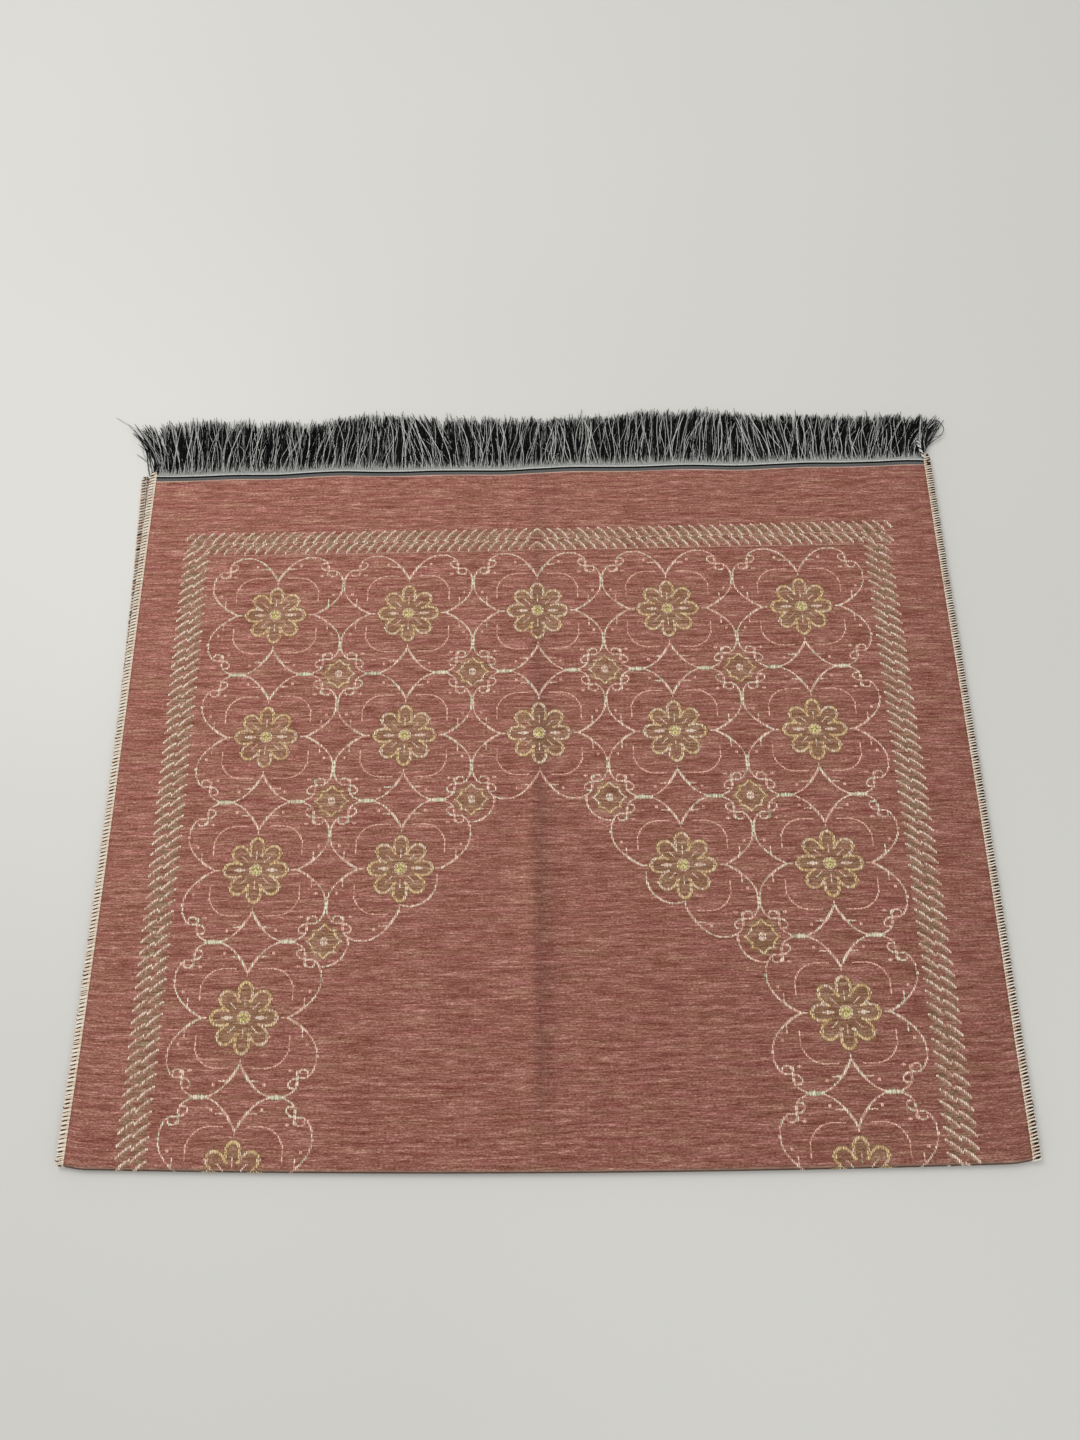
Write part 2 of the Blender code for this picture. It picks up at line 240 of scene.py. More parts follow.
def paired(tone, position):
    """Map places of tone and position, for every station of some threads."""
    return np.stack(np.broadcast_arrays(tone, position), -1)


# How far the tone drifts round a thread, on its map.
THREAD_TONE_SPREAD = 0.008


def tube_piece(name, bundles, material, node, slot):
    """One piece of closed tubes; a bundle is paths, radii, sides and the stations' map places."""
    points, places, faces, start = [], [], [], 0
    for paths, radii, sides, stations in bundles:
        ahead = np.gradient(paths, axis=1)
        ahead /= np.linalg.norm(ahead, axis=2, keepdims=True)
        guide = np.where(np.abs(ahead[..., 2:]) < 0.9, [0.0, 0.0, 1.0], [1.0, 0.0, 0.0])
        side = np.cross(ahead, guide)
        side /= np.linalg.norm(side, axis=2, keepdims=True)
        above = np.cross(side, ahead)
        turn = math.pi / 2 + 2 * math.pi * np.arange(sides)[:, None] / sides
        ring = side[:, :, None] * np.cos(turn) + above[:, :, None] * np.sin(turn)
        radii = np.broadcast_to(radii, paths.shape[:2])
        made = paths[:, :, None] + ring * radii[..., None, None]
        index = start + np.arange(made[..., 0].size).reshape(made.shape[:3])
        faces += grid_faces(np.concatenate([index, index[..., :1]], -1)).tolist()
        faces += np.concatenate([index[:, 0, ::-1], index[:, -1]]).tolist()
        place = np.repeat(stations.reshape(-1, 2), sides, axis=0)
        place[:, 0] += THREAD_TONE_SPREAD * np.tile(np.cos(turn[:, 0]), len(place) // sides)
        points.append(made.reshape(-1, 3))
        places.append(place)
        start += index.size
    points, places = np.concatenate(points), np.concatenate(places)
    return root_piece(name, points, faces, material, node, slot, OFBake=places)


# ---------------- materials
def colour_of(value):
    """Scene-linear colour of a grey share, of three display levels, or of four linear values."""
    if isinstance(value, (int, float)):
        return (value, value, value, 1.0)
    if len(value) == 4:
        return value
    shares = [level / 255 for level in value]
    linear = [v / 12.92 if v <= 0.04045 else ((v + 0.055) / 1.055) ** 2.4 for v in shares]
    return (*linear, 1.0)


class Look:
    """A node-based material on one map, with short calls that add and join its nodes."""

    def __init__(self, name, roughness, map_name=None, specular=0.10, sheen=0.0):
        self.material = bpy.data.materials.new(name)
        self.material.use_nodes = True
        self.tree = self.material.node_tree
        self.shader = self.tree.nodes["Principled BSDF"]
        self.shader.inputs["Roughness"].default_value = roughness
        self.shader.inputs["Specular IOR Level"].default_value = specular
        self.shader.inputs["Sheen Weight"].default_value = sheen
        if map_name:
            self.place = self.add("ShaderNodeUVMap", uv_map=map_name).outputs["UV"]
        else:
            self.place = self.add("ShaderNodeTexCoord").outputs["Object"]

    def add(self, kind, **settings):
        made = self.tree.nodes.new(kind)
        for key, value in settings.items():
            setattr(made, key, value)
        return made

    def feed(self, node, **values):
        """Join sockets to a node's inputs or set its numbers; _ stands for a space in a name."""
        for key, value in values.items():
            self.put(node.inputs[key.replace("_", " ")], value)

    def put(self, socket, value):
        if isinstance(value, bpy.types.NodeSocket):
            self.tree.links.new(value, socket)
        else:
            socket.default_value = value

    def split(self):
        made = self.add("ShaderNodeSeparateXYZ")
        self.feed(made, Vector=self.place)
        return made.outputs["X"], made.outputs["Y"]

    def noise(self, scale, detail=2.0, roughness=0.5, shift=(0.0, 0.0)):
        mapping = self.add("ShaderNodeMapping")
        self.feed(mapping, Vector=self.place, Scale=(*scale, 1.0), Location=(*shift, 0.0))
        made = self.add("ShaderNodeTexNoise")
        self.feed(made, Vector=mapping.outputs["Vector"], Scale=1.0, Detail=detail)
        self.feed(made, Roughness=roughness)
        return made.outputs["Fac"]

    def maths(self, operation, *values, clamp=False):
        made = self.add("ShaderNodeMath", operation=operation, use_clamp=clamp)
        for socket, value in zip(made.inputs, values):
            self.put(socket, value)
        return made.outputs["Value"]

    def ramp(self, source, stops, interpolation="LINEAR"):
        made = self.add("ShaderNodeValToRGB")
        made.color_ramp.interpolation = interpolation
        elements = made.color_ramp.elements
        while len(elements) < len(stops):
            elements.new(0.5)
        for element, (place, colour) in zip(elements, stops):
            element.position = place
            element.color = colour_of(colour)
        self.feed(made, Fac=source)
        return made.outputs["Color"]

    def mix(self, factor, first, second, blend="MIX"):
        made = self.add("ShaderNodeMix", data_type="RGBA", blend_type=blend)
        self.put(made.inputs[0], factor)
        for socket, value in zip((made.inputs[6], made.inputs[7]), (first, second)):
            self.put(socket, colour_of(value) if isinstance(value, (float, tuple)) else value)
        return made.outputs[2]

    def shaded(self, tone, source, stops, interpolation="LINEAR"):
        """The tone times a ramp of the source."""
        return self.mix(1.0, tone, self.ramp(source, stops, interpolation), "MULTIPLY")

    def colour(self, source):
        self.feed(self.shader, Base_Color=source)

    def bump(self, source, strength, distance):
        made = self.add("ShaderNodeBump")
        self.feed(made, Strength=strength, Distance=distance, Height=source)
        self.feed(self.shader, Normal=made.outputs["Normal"])


# How far each streak of the melange lies from the middle colour, in display levels.
STREAK_STEPS = ((0.34, -50), (0.43, -24), (0.50, -2), (0.56, 21), (0.65, 66))
# Where another weft comes up, and the tints of larger patches.
OTHER_WEFT = ((0.43, 0.0), (0.57, 1.0))
PATCH_TINTS = ((0.34, (1.01, 0.91, 0.98, 1)), (0.50, 1.0), (0.66, (1.0, 1.10, 1.0, 1)))
# Painted light and shade beside the crease down the middle, lit on its left and shaded on its
# right:
# how bright, from left to right, and how much of that shows, from the fringe to the fold.
CREASE_SPAN = 0.060
CREASE_PAINTED_SHADING = (
    (0.06, 1.00), (0.22, 1.03), (0.28, 1.08), (0.36, 1.00), (0.43, 0.84),
    (0.48, 0.76), (0.54, 0.80), (0.64, 0.92), (0.84, 1.00),
)
CREASE_STRENGTH = ((0.0, 0.45), (0.45, 1.0), (0.87, 0.95), (0.96, 0.25))
# Painted light: the cloth is lighter on its left and towards the fringe, darker on its right and
# towards the fold, as the light falls from the back left.
PAINTED_LIGHT_ACROSS = ((0.0, 1.08), (1.0, 0.90))
PAINTED_LIGHT_ALONG = ((0.0, 1.09), (1.0, 0.97))
# Where the pile parts on the fold: shares of the turn from its top, and how bare; then painted
# shade on the fold's lower turn, next to the floor: shares of the turn, and how dark.
FOLD_BARE = ((0.0, 0.0), (0.06, 0.15), (0.12, 0.70), (0.70, 0.80), (1.0, 0.0))
FOLD_PAINTED_SHADE = ((0.0, 0.0), (0.19, 0.0), (0.25, 0.92), (0.75, 0.92), (1.0, 0.0))
WORN_WARP = ((0.3, (118, 96, 84)), (0.7, (164, 140, 122)))
# The colour of the painted shade on the fold's lower turn.
FOLD_SHADOW = (84, 64, 52)


def chenille_look(name, *middles):
    """Melange chenille: wefts streaked round middle tones, read from the cloth's own metres;
    painted light and shade lie beside the crease, across the cloth and on the fold.
    """
    look = Look(name, 0.92, "cloth", sheen=0.05)
    look.feed(look.shader, Sheen_Roughness=0.4)
    streak = look.noise((96.0, 1150.0), 3.0, 0.65)
    slub = look.noise((27.0, 380.0), 2.0, 0.5, (3.1, 7.7))
    grain = look.noise((520.0, 1050.0), 1.0, 0.5, (9.3, 1.4))
    blend = look.maths("MULTIPLY", streak, 0.45)
    blend = look.maths("ADD", blend, look.maths("MULTIPLY", slub, 0.27))
    blend = look.maths("ADD", blend, look.maths("MULTIPLY", grain, 0.28))
    tones = [
        look.ramp(blend, [(at, tuple(v + step for v in middle)) for at, step in STREAK_STEPS])
        for middle in middles
    ]
    tone = tones[0]
    for other in tones[1:]:
        share = look.noise((120.0, 210.0), 2.0, 0.6, (5.3, 2.2))
        tone = look.mix(look.ramp(share, OTHER_WEFT), tone, other)
    tone = look.shaded(tone, look.noise((22.0, 160.0), 3.0, 0.65, (1.7, 4.2)), PATCH_TINTS)
    across, along = look.split()
    # Painted light and shade beside the crease.
    beside = look.maths("ADD", look.maths("MULTIPLY", across, 1 / CREASE_SPAN), 0.5)
    length = look.maths("MULTIPLY", along, 1 / FOLDED_LENGTH)
    strength = look.ramp(length, CREASE_STRENGTH)
    crease = look.mix(strength, 1.0, look.ramp(beside, CREASE_PAINTED_SHADING, "EASE"))
    tone = look.mix(1.0, tone, crease, "MULTIPLY")
    # Painted light, lighter to the left and towards the fringe end.
    place = look.maths("ADD", look.maths("MULTIPLY", across, 1 / RUG_WIDTH), 0.5)
    tone = look.shaded(look.shaded(tone, place, PAINTED_LIGHT_ACROSS), length, PAINTED_LIGHT_ALONG)
    # The pile parts on the fold, and the pale warp shows through.
    turn = look.maths("SUBTRACT", along, UPPER_RUN)
    turn = look.maths("MULTIPLY", turn, 1 / FOLD_RUN, clamp=True)
    tone = look.mix(look.ramp(turn, FOLD_BARE), tone, look.ramp(streak, WORN_WARP))
    # Painted shade on the fold's lower turn, next to the floor.
    look.colour(look.mix(look.ramp(turn, FOLD_PAINTED_SHADE), tone, FOLD_SHADOW))
    look.bump(blend, 0.5, 0.0005)
    return look.material


# Pattern yarns, dark to bright; each is a row of the floats' map, in this order.
YARNS = {
    "gold": ((184, 146, 98), (246, 222, 168)),
    "lime": ((182, 170, 94), (242, 238, 170)),
    "cream": ((184, 140, 120), (254, 238, 218)),
    "pink": ((190, 136, 118), (248, 208, 186)),
    "pale": ((150, 146, 116), (240, 244, 216)),
    "rope": ((206, 166, 146), (255, 242, 226)),
    "tan": ((160, 124, 106), (212, 174, 152)),
    "shade": ((100, 76, 50), (140, 112, 78)),
}
YARN_ROWS = {yarn: row for row, yarn in enumerate(YARNS)}
# Painted shade towards both ends of a float, where it sinks into the cloth: shares along it, and
# how bright.
SUNK_ENDS_PAINTED_SHADE = ((0.0, 0.58), (0.24, 1.0), (0.76, 1.0), (1.0, 0.58))
TONES = 16


def pattern_look():
    """Pattern yarns: the map's rows are the yarns, its first coordinate how bright a float is."""
    look = Look("pattern_yarn", 0.62, "OFBake", sheen=0.1)
    bright, row = look.split()
    rows = len(YARNS)
    dark, light = (
        look.ramp(row, [(YARN_ROWS[yarn] / rows, YARNS[yarn][end]) for yarn in YARNS], "CONSTANT")
        for end in (0, 1)
    )
    within = look.maths("FRACT", look.maths("MULTIPLY", row, float(rows)))
    # The yarn's tone, with painted shade towards the float's ends.
    tone = look.shaded(look.mix(bright, dark, light), within, SUNK_ENDS_PAINTED_SHADE)
    fleck = look.noise((70.0, 45.0), 2.0, 0.6)
    look.colour(look.shaded(tone, fleck, [(0.32, 0.84), (0.68, 1.12)]))
    return look.material


def rope_look():
    """The padded rope strokes: pinkish tan yarns, flecked light and dark."""
    look = Look("rope_pads", 0.88, "cloth", sheen=0.06)
    fleck = look.noise((640.0, 760.0), 2.0, 0.6)
    stops = [(0.30, (108, 78, 64)), (0.44, (142, 106, 90)), (0.56, (162, 124, 106))]
    look.colour(look.ramp(fleck, stops + [(0.70, (202, 166, 146))]))
    look.bump(fleck, 0.5, 0.0005)
    return look.material


# Thread colours along the overlock's map.
OVERLOCK_TONES = (
    (0.05, (255, 246, 230)), (0.20, (238, 218, 196)), (0.26, (206, 178, 154)),
    (0.34, (48, 39, 34)), (0.42, (214, 172, 152)), (0.62, (168, 160, 150)),
    (0.76, (42, 33, 28)), (0.90, (22, 20, 22)),
)


def overlock_look():
    """Thread whose tone is the map's first coordinate, flecked along the second."""
    look = Look("overlock_thread", 0.7, "OFBake", sheen=0.03)
    tone = look.ramp(look.split()[0], OVERLOCK_TONES)
    look.colour(look.shaded(tone, look.noise((60.0, 34.0)), [(0.3, 0.72), (0.7, 1.12)]))
    return look.material


# Across the heading, away from the cloth: cream line, grey band, black line, pale band.
HEADING_STRIPES = (
    (0.00, (212, 178, 162)), (0.08, (200, 168, 152)), (0.12, (66, 65, 65)),
    (0.19, (108, 108, 106)), (0.26, (72, 72, 73)), (0.32, (112, 114, 113)),
    (0.37, (92, 94, 94)), (0.40, (6, 6, 7)), (0.58, (6, 6, 7)), (0.61, (204, 206, 202)),
    (0.67, (204, 206, 202)), (0.75, (150, 152, 150)), (1.00, (70, 71, 72)),
)
STRIPE_WANDER = 0.16


def heading_look():
    look = Look("heading_warp", 0.85, "stripe")
    wave = look.maths("SUBTRACT", look.noise((16.0, 0.0), 1.0), 0.5)
    wave = look.maths("MULTIPLY", wave, STRIPE_WANDER)
    strand = look.maths("ADD", look.split()[1], wave, clamp=True)
    yarn = look.noise((900.0, 9.0), 2.0, 0.6, (2.0, 3.0))
    stripes = look.ramp(strand, HEADING_STRIPES)
    look.colour(look.shaded(stripes, yarn, [(0.3, 0.66), (0.7, 1.2)]))
    look.bump(yarn, 0.5, 0.0003)
    return look.material


# Fringe yarn: its tones, how pale it is from the root on, and how dry at the tip.
WARP_TONES = (
    (0.0, (6, 6, 7)), (0.34, (48, 48, 50)), (0.62, (140, 142, 142)), (1.0, (236, 236, 232)),
)
WARP_ROOT = ((0.02, 0.96), (0.11, 0.80), (0.17, 0.25), (0.22, 0.0))
WARP_TIP = ((0.90, 0.0), (0.99, 0.15))


def warp_look():
    look = Look("fringe_warp", 0.8, "OFBake")
    bright, length = look.split()
    tone = look.ramp(bright, WARP_TONES)
    tone = look.mix(look.ramp(length, WARP_ROOT), tone, (192, 194, 190))
    tone = look.mix(look.ramp(length, WARP_TIP), tone, (30, 30, 32))
    look.colour(look.shaded(tone, look.noise((90.0, 26.0)), [(0.3, 0.72), (0.7, 1.15)]))
    return look.material


rose_look = chenille_look("rose_chenille", (145, 96, 84))
olive_look = chenille_look("olive_ground", (143, 106, 85))
border_look = chenille_look("border_ground", (146, 98, 86), (134, 110, 86))
yarn_look = pattern_look()

# ---------------- camera, floor and light
CAMERA_PLACE = (0.020, 0.027, 0.833)
CAMERA_ELEVATION = math.radians(69.45)
CAMERA_YAW = math.radians(-3.69)
CAMERA_ROLL = math.radians(-4.35)
CAMERA_LENS = 27.05
CAMERA_NEAR = 0.01
FLOOR_HALF = 4.0
FLOOR_TONES = ((0.3, (207, 207, 203)), (0.7, (211, 211, 207)))
# Area lights: name, place, aim, size, watts and colour.
LIGHTS = (
    ("key", (-1.10, 1.15, 2.20), (0.0, 0.2, 0.0), (1.5, 1.5), 30.0, (1.0, 0.985, 0.955)),
    ("fill", (0.9, -0.9, 1.9), (0.0, 0.0, 0.0), (1.8, 1.4), 7.0, (1.0, 0.99, 0.98)),
)
STUDIO_COLOUR = (1.0, 0.995, 0.98, 1.0)
STUDIO_STRENGTH = 0.60


def add_camera():
    flat = math.cos(CAMERA_ELEVATION)
    ahead = math.sin(CAMERA_YAW) * flat, math.cos(CAMERA_YAW) * flat, -math.sin(CAMERA_ELEVATION)
    look = Vector(ahead)
    level = Vector((math.cos(CAMERA_YAW), -math.sin(CAMERA_YAW), 0.0))
    over = level.cross(look)
    right = level * math.cos(CAMERA_ROLL) + over * math.sin(CAMERA_ROLL)
    above = over * math.cos(CAMERA_ROLL) - level * math.sin(CAMERA_ROLL)
    camera = link("photo_camera", bpy.data.cameras.new("photo_camera"))
    camera.data.lens = CAMERA_LENS
    camera.data.clip_start = CAMERA_NEAR
    place = Vector(CAMERA_PLACE) + Vector(FRAME_SHIFT)
    turned = Matrix((right, above, -look)).transposed().to_4x4()
    camera.matrix_world = Matrix.Translation(place) @ turned
    bpy.context.scene.camera = camera


def set_stage():
    look = Look("pale_floor", 0.45, specular=0.5)
    look.colour(look.ramp(look.noise((1.3, 1.3)), FLOOR_TONES))
    corners = np.array([[-1, -1, 0], [1, -1, 0], [1, 1, 0], [-1, 1, 0]], float) * FLOOR_HALF
    link_piece("floor", corners, [[0, 1, 2, 3]], look.material)
    world = bpy.data.worlds.new("studio")
    bpy.context.scene.world = world
    world.use_nodes = True
    background = world.node_tree.nodes["Background"]
    background.inputs["Color"].default_value = STUDIO_COLOUR
    background.inputs["Strength"].default_value = STUDIO_STRENGTH
    for name, place, aim, size, watts, colour in LIGHTS:
        light = link(name, bpy.data.lights.new(name, "AREA"))
        light.data.shape = "RECTANGLE"
        light.data.size, light.data.size_y = size
        light.data.energy, light.data.color = watts, colour
        light.location = place
        light.rotation_euler = (Vector(aim) - Vector(place)).to_track_quat("-Z", "Y").to_euler()
    bpy.context.scene.view_settings.view_transform = "Standard"


add_camera()
set_stage()

# ---------------- the cloth
SHEET_HALF = 0.0008
THIN_HALF = TONGUE_THICKNESS / 2
FOLD_STEPS = 18
ROW_STEP = 0.0058
COLUMN_STEP = 0.0060
FIELD_MARGINS = (0.004, 0.003)
STEP_WIDTH = 0.0006
EDGE_SLACK = 0.0001
CREASE_COLUMNS = np.array([-16, -10, -5, -2, 0, 2, 4, 8]) * MM
# Baked maps: spread across, stops along with their rows on the front, and rows on the back.
# Most of the sheet's map is for the upper layer, which is seen.
SHEET_BAKE = (0.995, (0.0, UPPER_RUN, WHOLE_RUN), (0.005, 0.640, 0.840), (0.850, 0.995))
HEADING_BAKE = (0.99, (0.0, 1.0), (0.02, 0.62), (0.66, 0.98))


def cloth_columns():
    shoulder = HALF_WIDTH - TONGUE_SHOULDER
    field = np.arange(-shoulder + FIELD_MARGINS[0], shoulder - FIELD_MARGINS[1], COLUMN_STEP)
    edges = np.array([HALF_WIDTH - TONGUE_INSET, shoulder, shoulder - STEP_WIDTH])
    columns = np.concatenate([-edges, field, CREASE_ACROSS + CREASE_COLUMNS, edges])
    return np.unique(np.round(columns, 6))


def cloth_runs():
    upper = np.linspace(0.0, UPPER_RUN, int(UPPER_RUN / ROW_STEP))
    fold = UPPER_RUN + FOLD_RUN * np.arange(1, FOLD_STEPS) / FOLD_STEPS
    return np.concatenate([upper, fold, WHOLE_RUN - upper[::-1]])


def make_sheet():
    across, run = np.meshgrid(cloth_columns(), cloth_runs())
    inset = HALF_WIDTH - np.abs(across)
    half = np.where(inset < TONGUE_SHOULDER + EDGE_SLACK, THIN_HALF, SHEET_HALF)
    return slab_piece(
        "rug_sheet", [on_cloth(across, run, half), on_cloth(across, run, -half)],
        np.stack([across, run], -1), "cloth", SHEET_BAKE, False, rose_look,
        "rug_cloth", "rose_chenille",
    )


# ---------------- motifs, in millimetres
WARP_PITCH = 1.12
PICK_PITCH = 0.55
CELL_REACH = 0.20
PATH_STEP = 0.2
LONGEST_FLOAT = 8
SHORTEST_FLOAT = 1.5
SHORT_GROWTH = 0.4
BRICK_SHIFT = 1.5


def bezier(points, count=24):
    p = np.array(points, float)
    t = np.linspace(0.0, 1.0, count)[:, None]
    near = (1 - t) ** 3 * p[0] + 3 * (1 - t) ** 2 * t * p[1]
    return near + 3 * (1 - t) * t**2 * p[2] + t**3 * p[3]


def curve_through(points, per_span=8):
    """A smooth curve through all of the points (Catmull-Rom)."""
    p = np.array(points, float)
    p = np.concatenate([[2 * p[0] - p[1]], p, [2 * p[-1] - p[-2]]])
    t = np.linspace(0.0, 1.0, per_span, endpoint=False)[:, None]
    spans = []
    for a, b, c, d in zip(p, p[1:], p[2:], p[3:]):
        bend, twist = 2 * a - 5 * b + 4 * c - d, 3 * b - a - 3 * c + d
        spans.append(0.5 * (2 * b + (c - a) * t + bend * t**2 + twist * t**3))
    return np.concatenate(spans + [p[-2:-1]])


def resampled(path, count=None):
    """Points at even steps along a path, and their shares of its length."""
    path = np.asarray(path, float)
    distance = np.concatenate([[0], np.cumsum(np.linalg.norm(np.diff(path, axis=0), axis=1))])
    at = np.linspace(0.0, distance[-1], count or max(3, int(distance[-1] / PATH_STEP)))
    return np.stack([np.interp(at, distance, axis) for axis in path.T], 1), at / distance[-1]


def arc(radius, first, last, count=30):
    turn = np.radians(np.linspace(first, last, count))
    return radius * np.stack([np.cos(turn), np.sin(turn)], 1)


def towards(degrees):
    return np.array([math.cos(math.radians(degrees)), math.sin(math.radians(degrees))])


def covered_cells(paths):
    """The cells (warp column, pick) that thick paths cover; a path is its points and widths."""
    found = []
    for path, width in paths:
        path, share = resampled(path)
        reach = np.interp(share, np.linspace(0, 1, np.size(width)), np.atleast_1d(width))
        reach = reach / 2 + CELL_REACH
        cells = []
        for axis, pitch in enumerate((WARP_PITCH, PICK_PITCH)):
            most = int(reach.max() / pitch) + 1
            cells.append((np.round(path[:, axis] / pitch), np.arange(-most, most + 1)))
        steps = np.meshgrid(cells[0][1], cells[1][1])
        column, pick = (cells[axis][0][:, None] + steps[axis].ravel() for axis in (0, 1))
        off = np.hypot(column * WARP_PITCH - path[:, :1], pick * PICK_PITCH - path[:, 1:])
        inside = off <= reach[:, None]
        found.append(np.stack([column[inside], pick[inside]], 1))
    return set(map(tuple, np.unique(np.concatenate(found), axis=0).astype(int).tolist()))


def cut_floats(cells):
    """Upright floats, the runs of cells down each column: rows of x, lowest y and highest y."""
    made = []
    for column in sorted({cell[0] for cell in cells}):
        picks = np.array(sorted(cell[1] for cell in cells if cell[0] == column))
        for run in np.split(picks, np.flatnonzero(np.diff(picks) > 1) + 1):
            low, high = run[0] - 0.5, run[-1] + 0.5
            pieces = math.ceil((high - low) / LONGEST_FLOAT)
            cuts = np.linspace(low, high, pieces + 1)
            if pieces > 1 and column % 2:
                cuts[1:-1] += BRICK_SHIFT
            for first, last in zip(cuts[:-1], cuts[1:]):
                if last - first < SHORTEST_FLOAT:
                    first, last = first - SHORT_GROWTH, last + SHORT_GROWTH
                made.append((column * WARP_PITCH, first * PICK_PITCH, last * PICK_PITCH))
    return np.array(made)


def weave(parts):
    """Floats of each yarn of a motif; a yarn named earlier lies over those named later."""
    taken, made = set(), {}
    for yarn, paths in parts.items():
        cells = covered_cells(paths) - taken
        taken |= cells
        if cells:
            made[yarn] = cut_floats(cells)
    return made


def dot(x, y, width=2.0, height=2.8):
    reach = (height - width) / 2
    return ([(x, y - reach), (x, y + reach)], width)


LOBE = bezier([(33.0, 0.3), (43.5, 5.8), (55.2, 15), (55.3, 27.2)])
SCROLL = curve_through(
    [(55.3, 27.2), (54.6, 33.0), (51.8, 38.6), (48.2, 41.6), (43.4, 42.0), (39.2, 42.6)]
    + [(36.2, 45.0), (36.8, 48.6), (40.2, 49.0)]
)
LOBE_LINE = np.concatenate([LOBE[:-1], SCROLL])
LOBE_WIDTHS = [1.6, 2.0, 1.9, 1.3, 1.1, 1.1, 1.2, 1.2, 1.2, 1.2, 1.2, 1.1, 1.0]
INNER_ARC = curve_through(
    [(8.5, 35.2), (16.0, 35.5), (23.5, 34.5), (30.0, 30.4), (33.8, 24.5), (35.0, 18.5), (35.1, 12)]
)
PETAL_PROFILE = np.array(
    [(11.6, 4.5), (13.4, 5.3), (15.6, 5.8), (18.2, 6.0), (21.0, 5.6), (23.3, 4.5), (24.8, 2.7)]
)
PETAL_TIP = 25.6
PETAL_WIDTHS = [1.2, 1.8, 2.1, 2.2, 2.1, 1.8, 1.2]
PETAL_SHADE_WIDTHS = [2.6, 3.3, 3.9, 4.2, 3.9, 3.3, 2.6]


def quadrant():
    """Lobes, scrolls, dots and inner arc of one quarter of a medallion."""
    cream = [(LOBE_LINE, LOBE_WIDTHS), (LOBE_LINE[:, ::-1], LOBE_WIDTHS)]
    cream += [([(33.4, 0.0), (28.4, 0.0)], 0.9), ([(0.0, 33.4), (0.0, 29.4)], 0.9)]
    cream += [([(43.4, 6.6), (44.0, 10.2), (44.1, 14.2)], [1.4, 0.9, 0.5])]
    cream += [([(6.6, 43.4), (10.2, 44.0), (14.2, 44.1)], [1.5, 1.0, 0.6])]
    cream += [([(42.2, 42.0), (41.6, 37.0), (45.6, 36.4)], [1.2, 1.0, 0.9])]
    pink = [(INNER_ARC, [0.5, 0.8, 0.9, 0.9, 0.8, 0.5])]
    pink += [dot(47.4, 18.8), dot(18.6, 46.8), dot(36.9, 36.8, 2.1, 2.6)]
    return {"cream": cream, "pink": pink}


def petal(direction, reach, plump):
    side = PETAL_PROFILE * [reach / PETAL_TIP, plump]
    path = curve_through(np.concatenate([side, [[reach, 0.0]], side[::-1] * [1, -1]]), 5)
    cosine, sine = towards(direction)
    x, y = path.T
    return np.stack([x * cosine - y * sine, x * sine + y * cosine], 1)


def flower():
    gold, cream, shade = [], [], []
    white = [([(-0.5, 0.0), (0.5, 0.0)], 9.0)]
    for step in range(8):
        direction = 45.0 * step
        diagonal = step % 2 == 1
        reach, plump = (24.6, 0.98) if diagonal else (25.4, 0.86) if step % 4 else (24.9, 0.92)
        outline = petal(direction, reach, plump)
        gold.append((outline, PETAL_WIDTHS))
        shade.append((outline, PETAL_SHADE_WIDTHS))
        way = towards(direction)
        if step in (0, 4):
            white.append(([way * 9.2, way * 12.6, way * 16.2], [1.6, 3.4, 1.4]))
            for beside in (-2.6, 2.6):
                shade.append((np.array([way * 7.5, way * 20.0]) + [0.0, beside], 0.6))
        else:
            start, wide = (9.4, 0.9) if diagonal else (8.8, 0.8)
            cream.append(([way * start, way * 15.0], wide))
        between = towards(direction + 22.5)
        shade.append(([between * 6.0, between * 12.5], 0.8))
    lime = [([(0.0, -0.5), (0.0, 0.5)], 7.5)]
    return {"lime": lime, "rope": white, "gold": gold, "cream": cream, "shade": shade}


def rosette():
    """A star of eight points, the level and upright ones a little longer."""
    turn = np.linspace(0.0, 2 * math.pi, 97)
    radius = 12.2 + 0.6 * np.cos(4.0 * turn) - 2.5 * np.abs(np.sin(4.0 * turn)) ** 0.7
    outline = np.stack([radius * np.cos(turn), radius * np.sin(turn)], 1)
    heart = ([(0.0, -0.6), (0.0, 0.6)], 5.8)
    return {"rope": [heart], "gold": [(outline, 1.4)], "shade": [(outline, 2.2)]}


# The lower inner quarter of a medallion that borders the plain niche.
NICHE_QUADRANT = {"cream": [(8.0 + arc(21.5, -9.0, 112.0), [0.9, 1.4, 1.7, 1.4, 0.9])]}
# The arc that closes a rosette towards the niche, drawn for its lower right.
NICHE_HOOK = {"cream": [(arc(18.6, 6.0, -98.0), [0.9, 1.2, 1.4, 1.2, 0.9])]}
# Where two medallions touch side by side: their two lines, bound together.
UPRIGHT_JOIN = {
    "pale": [
        ([(-1.0, -6.2), (-1.0, 6.2)], 0.9),
        ([(1.0, -6.2), (1.0, 6.2)], 0.9),
        ([(0.0, -1.5), (0.0, 1.5)], 1.6),
    ]
}
# Where one medallion touches the next along the rug: a short bar.
LEVEL_JOIN = {"pale": [([(-5.6, 0.1), (5.6, 0.1)], [2.0, 3.8, 3.8, 2.0])]}

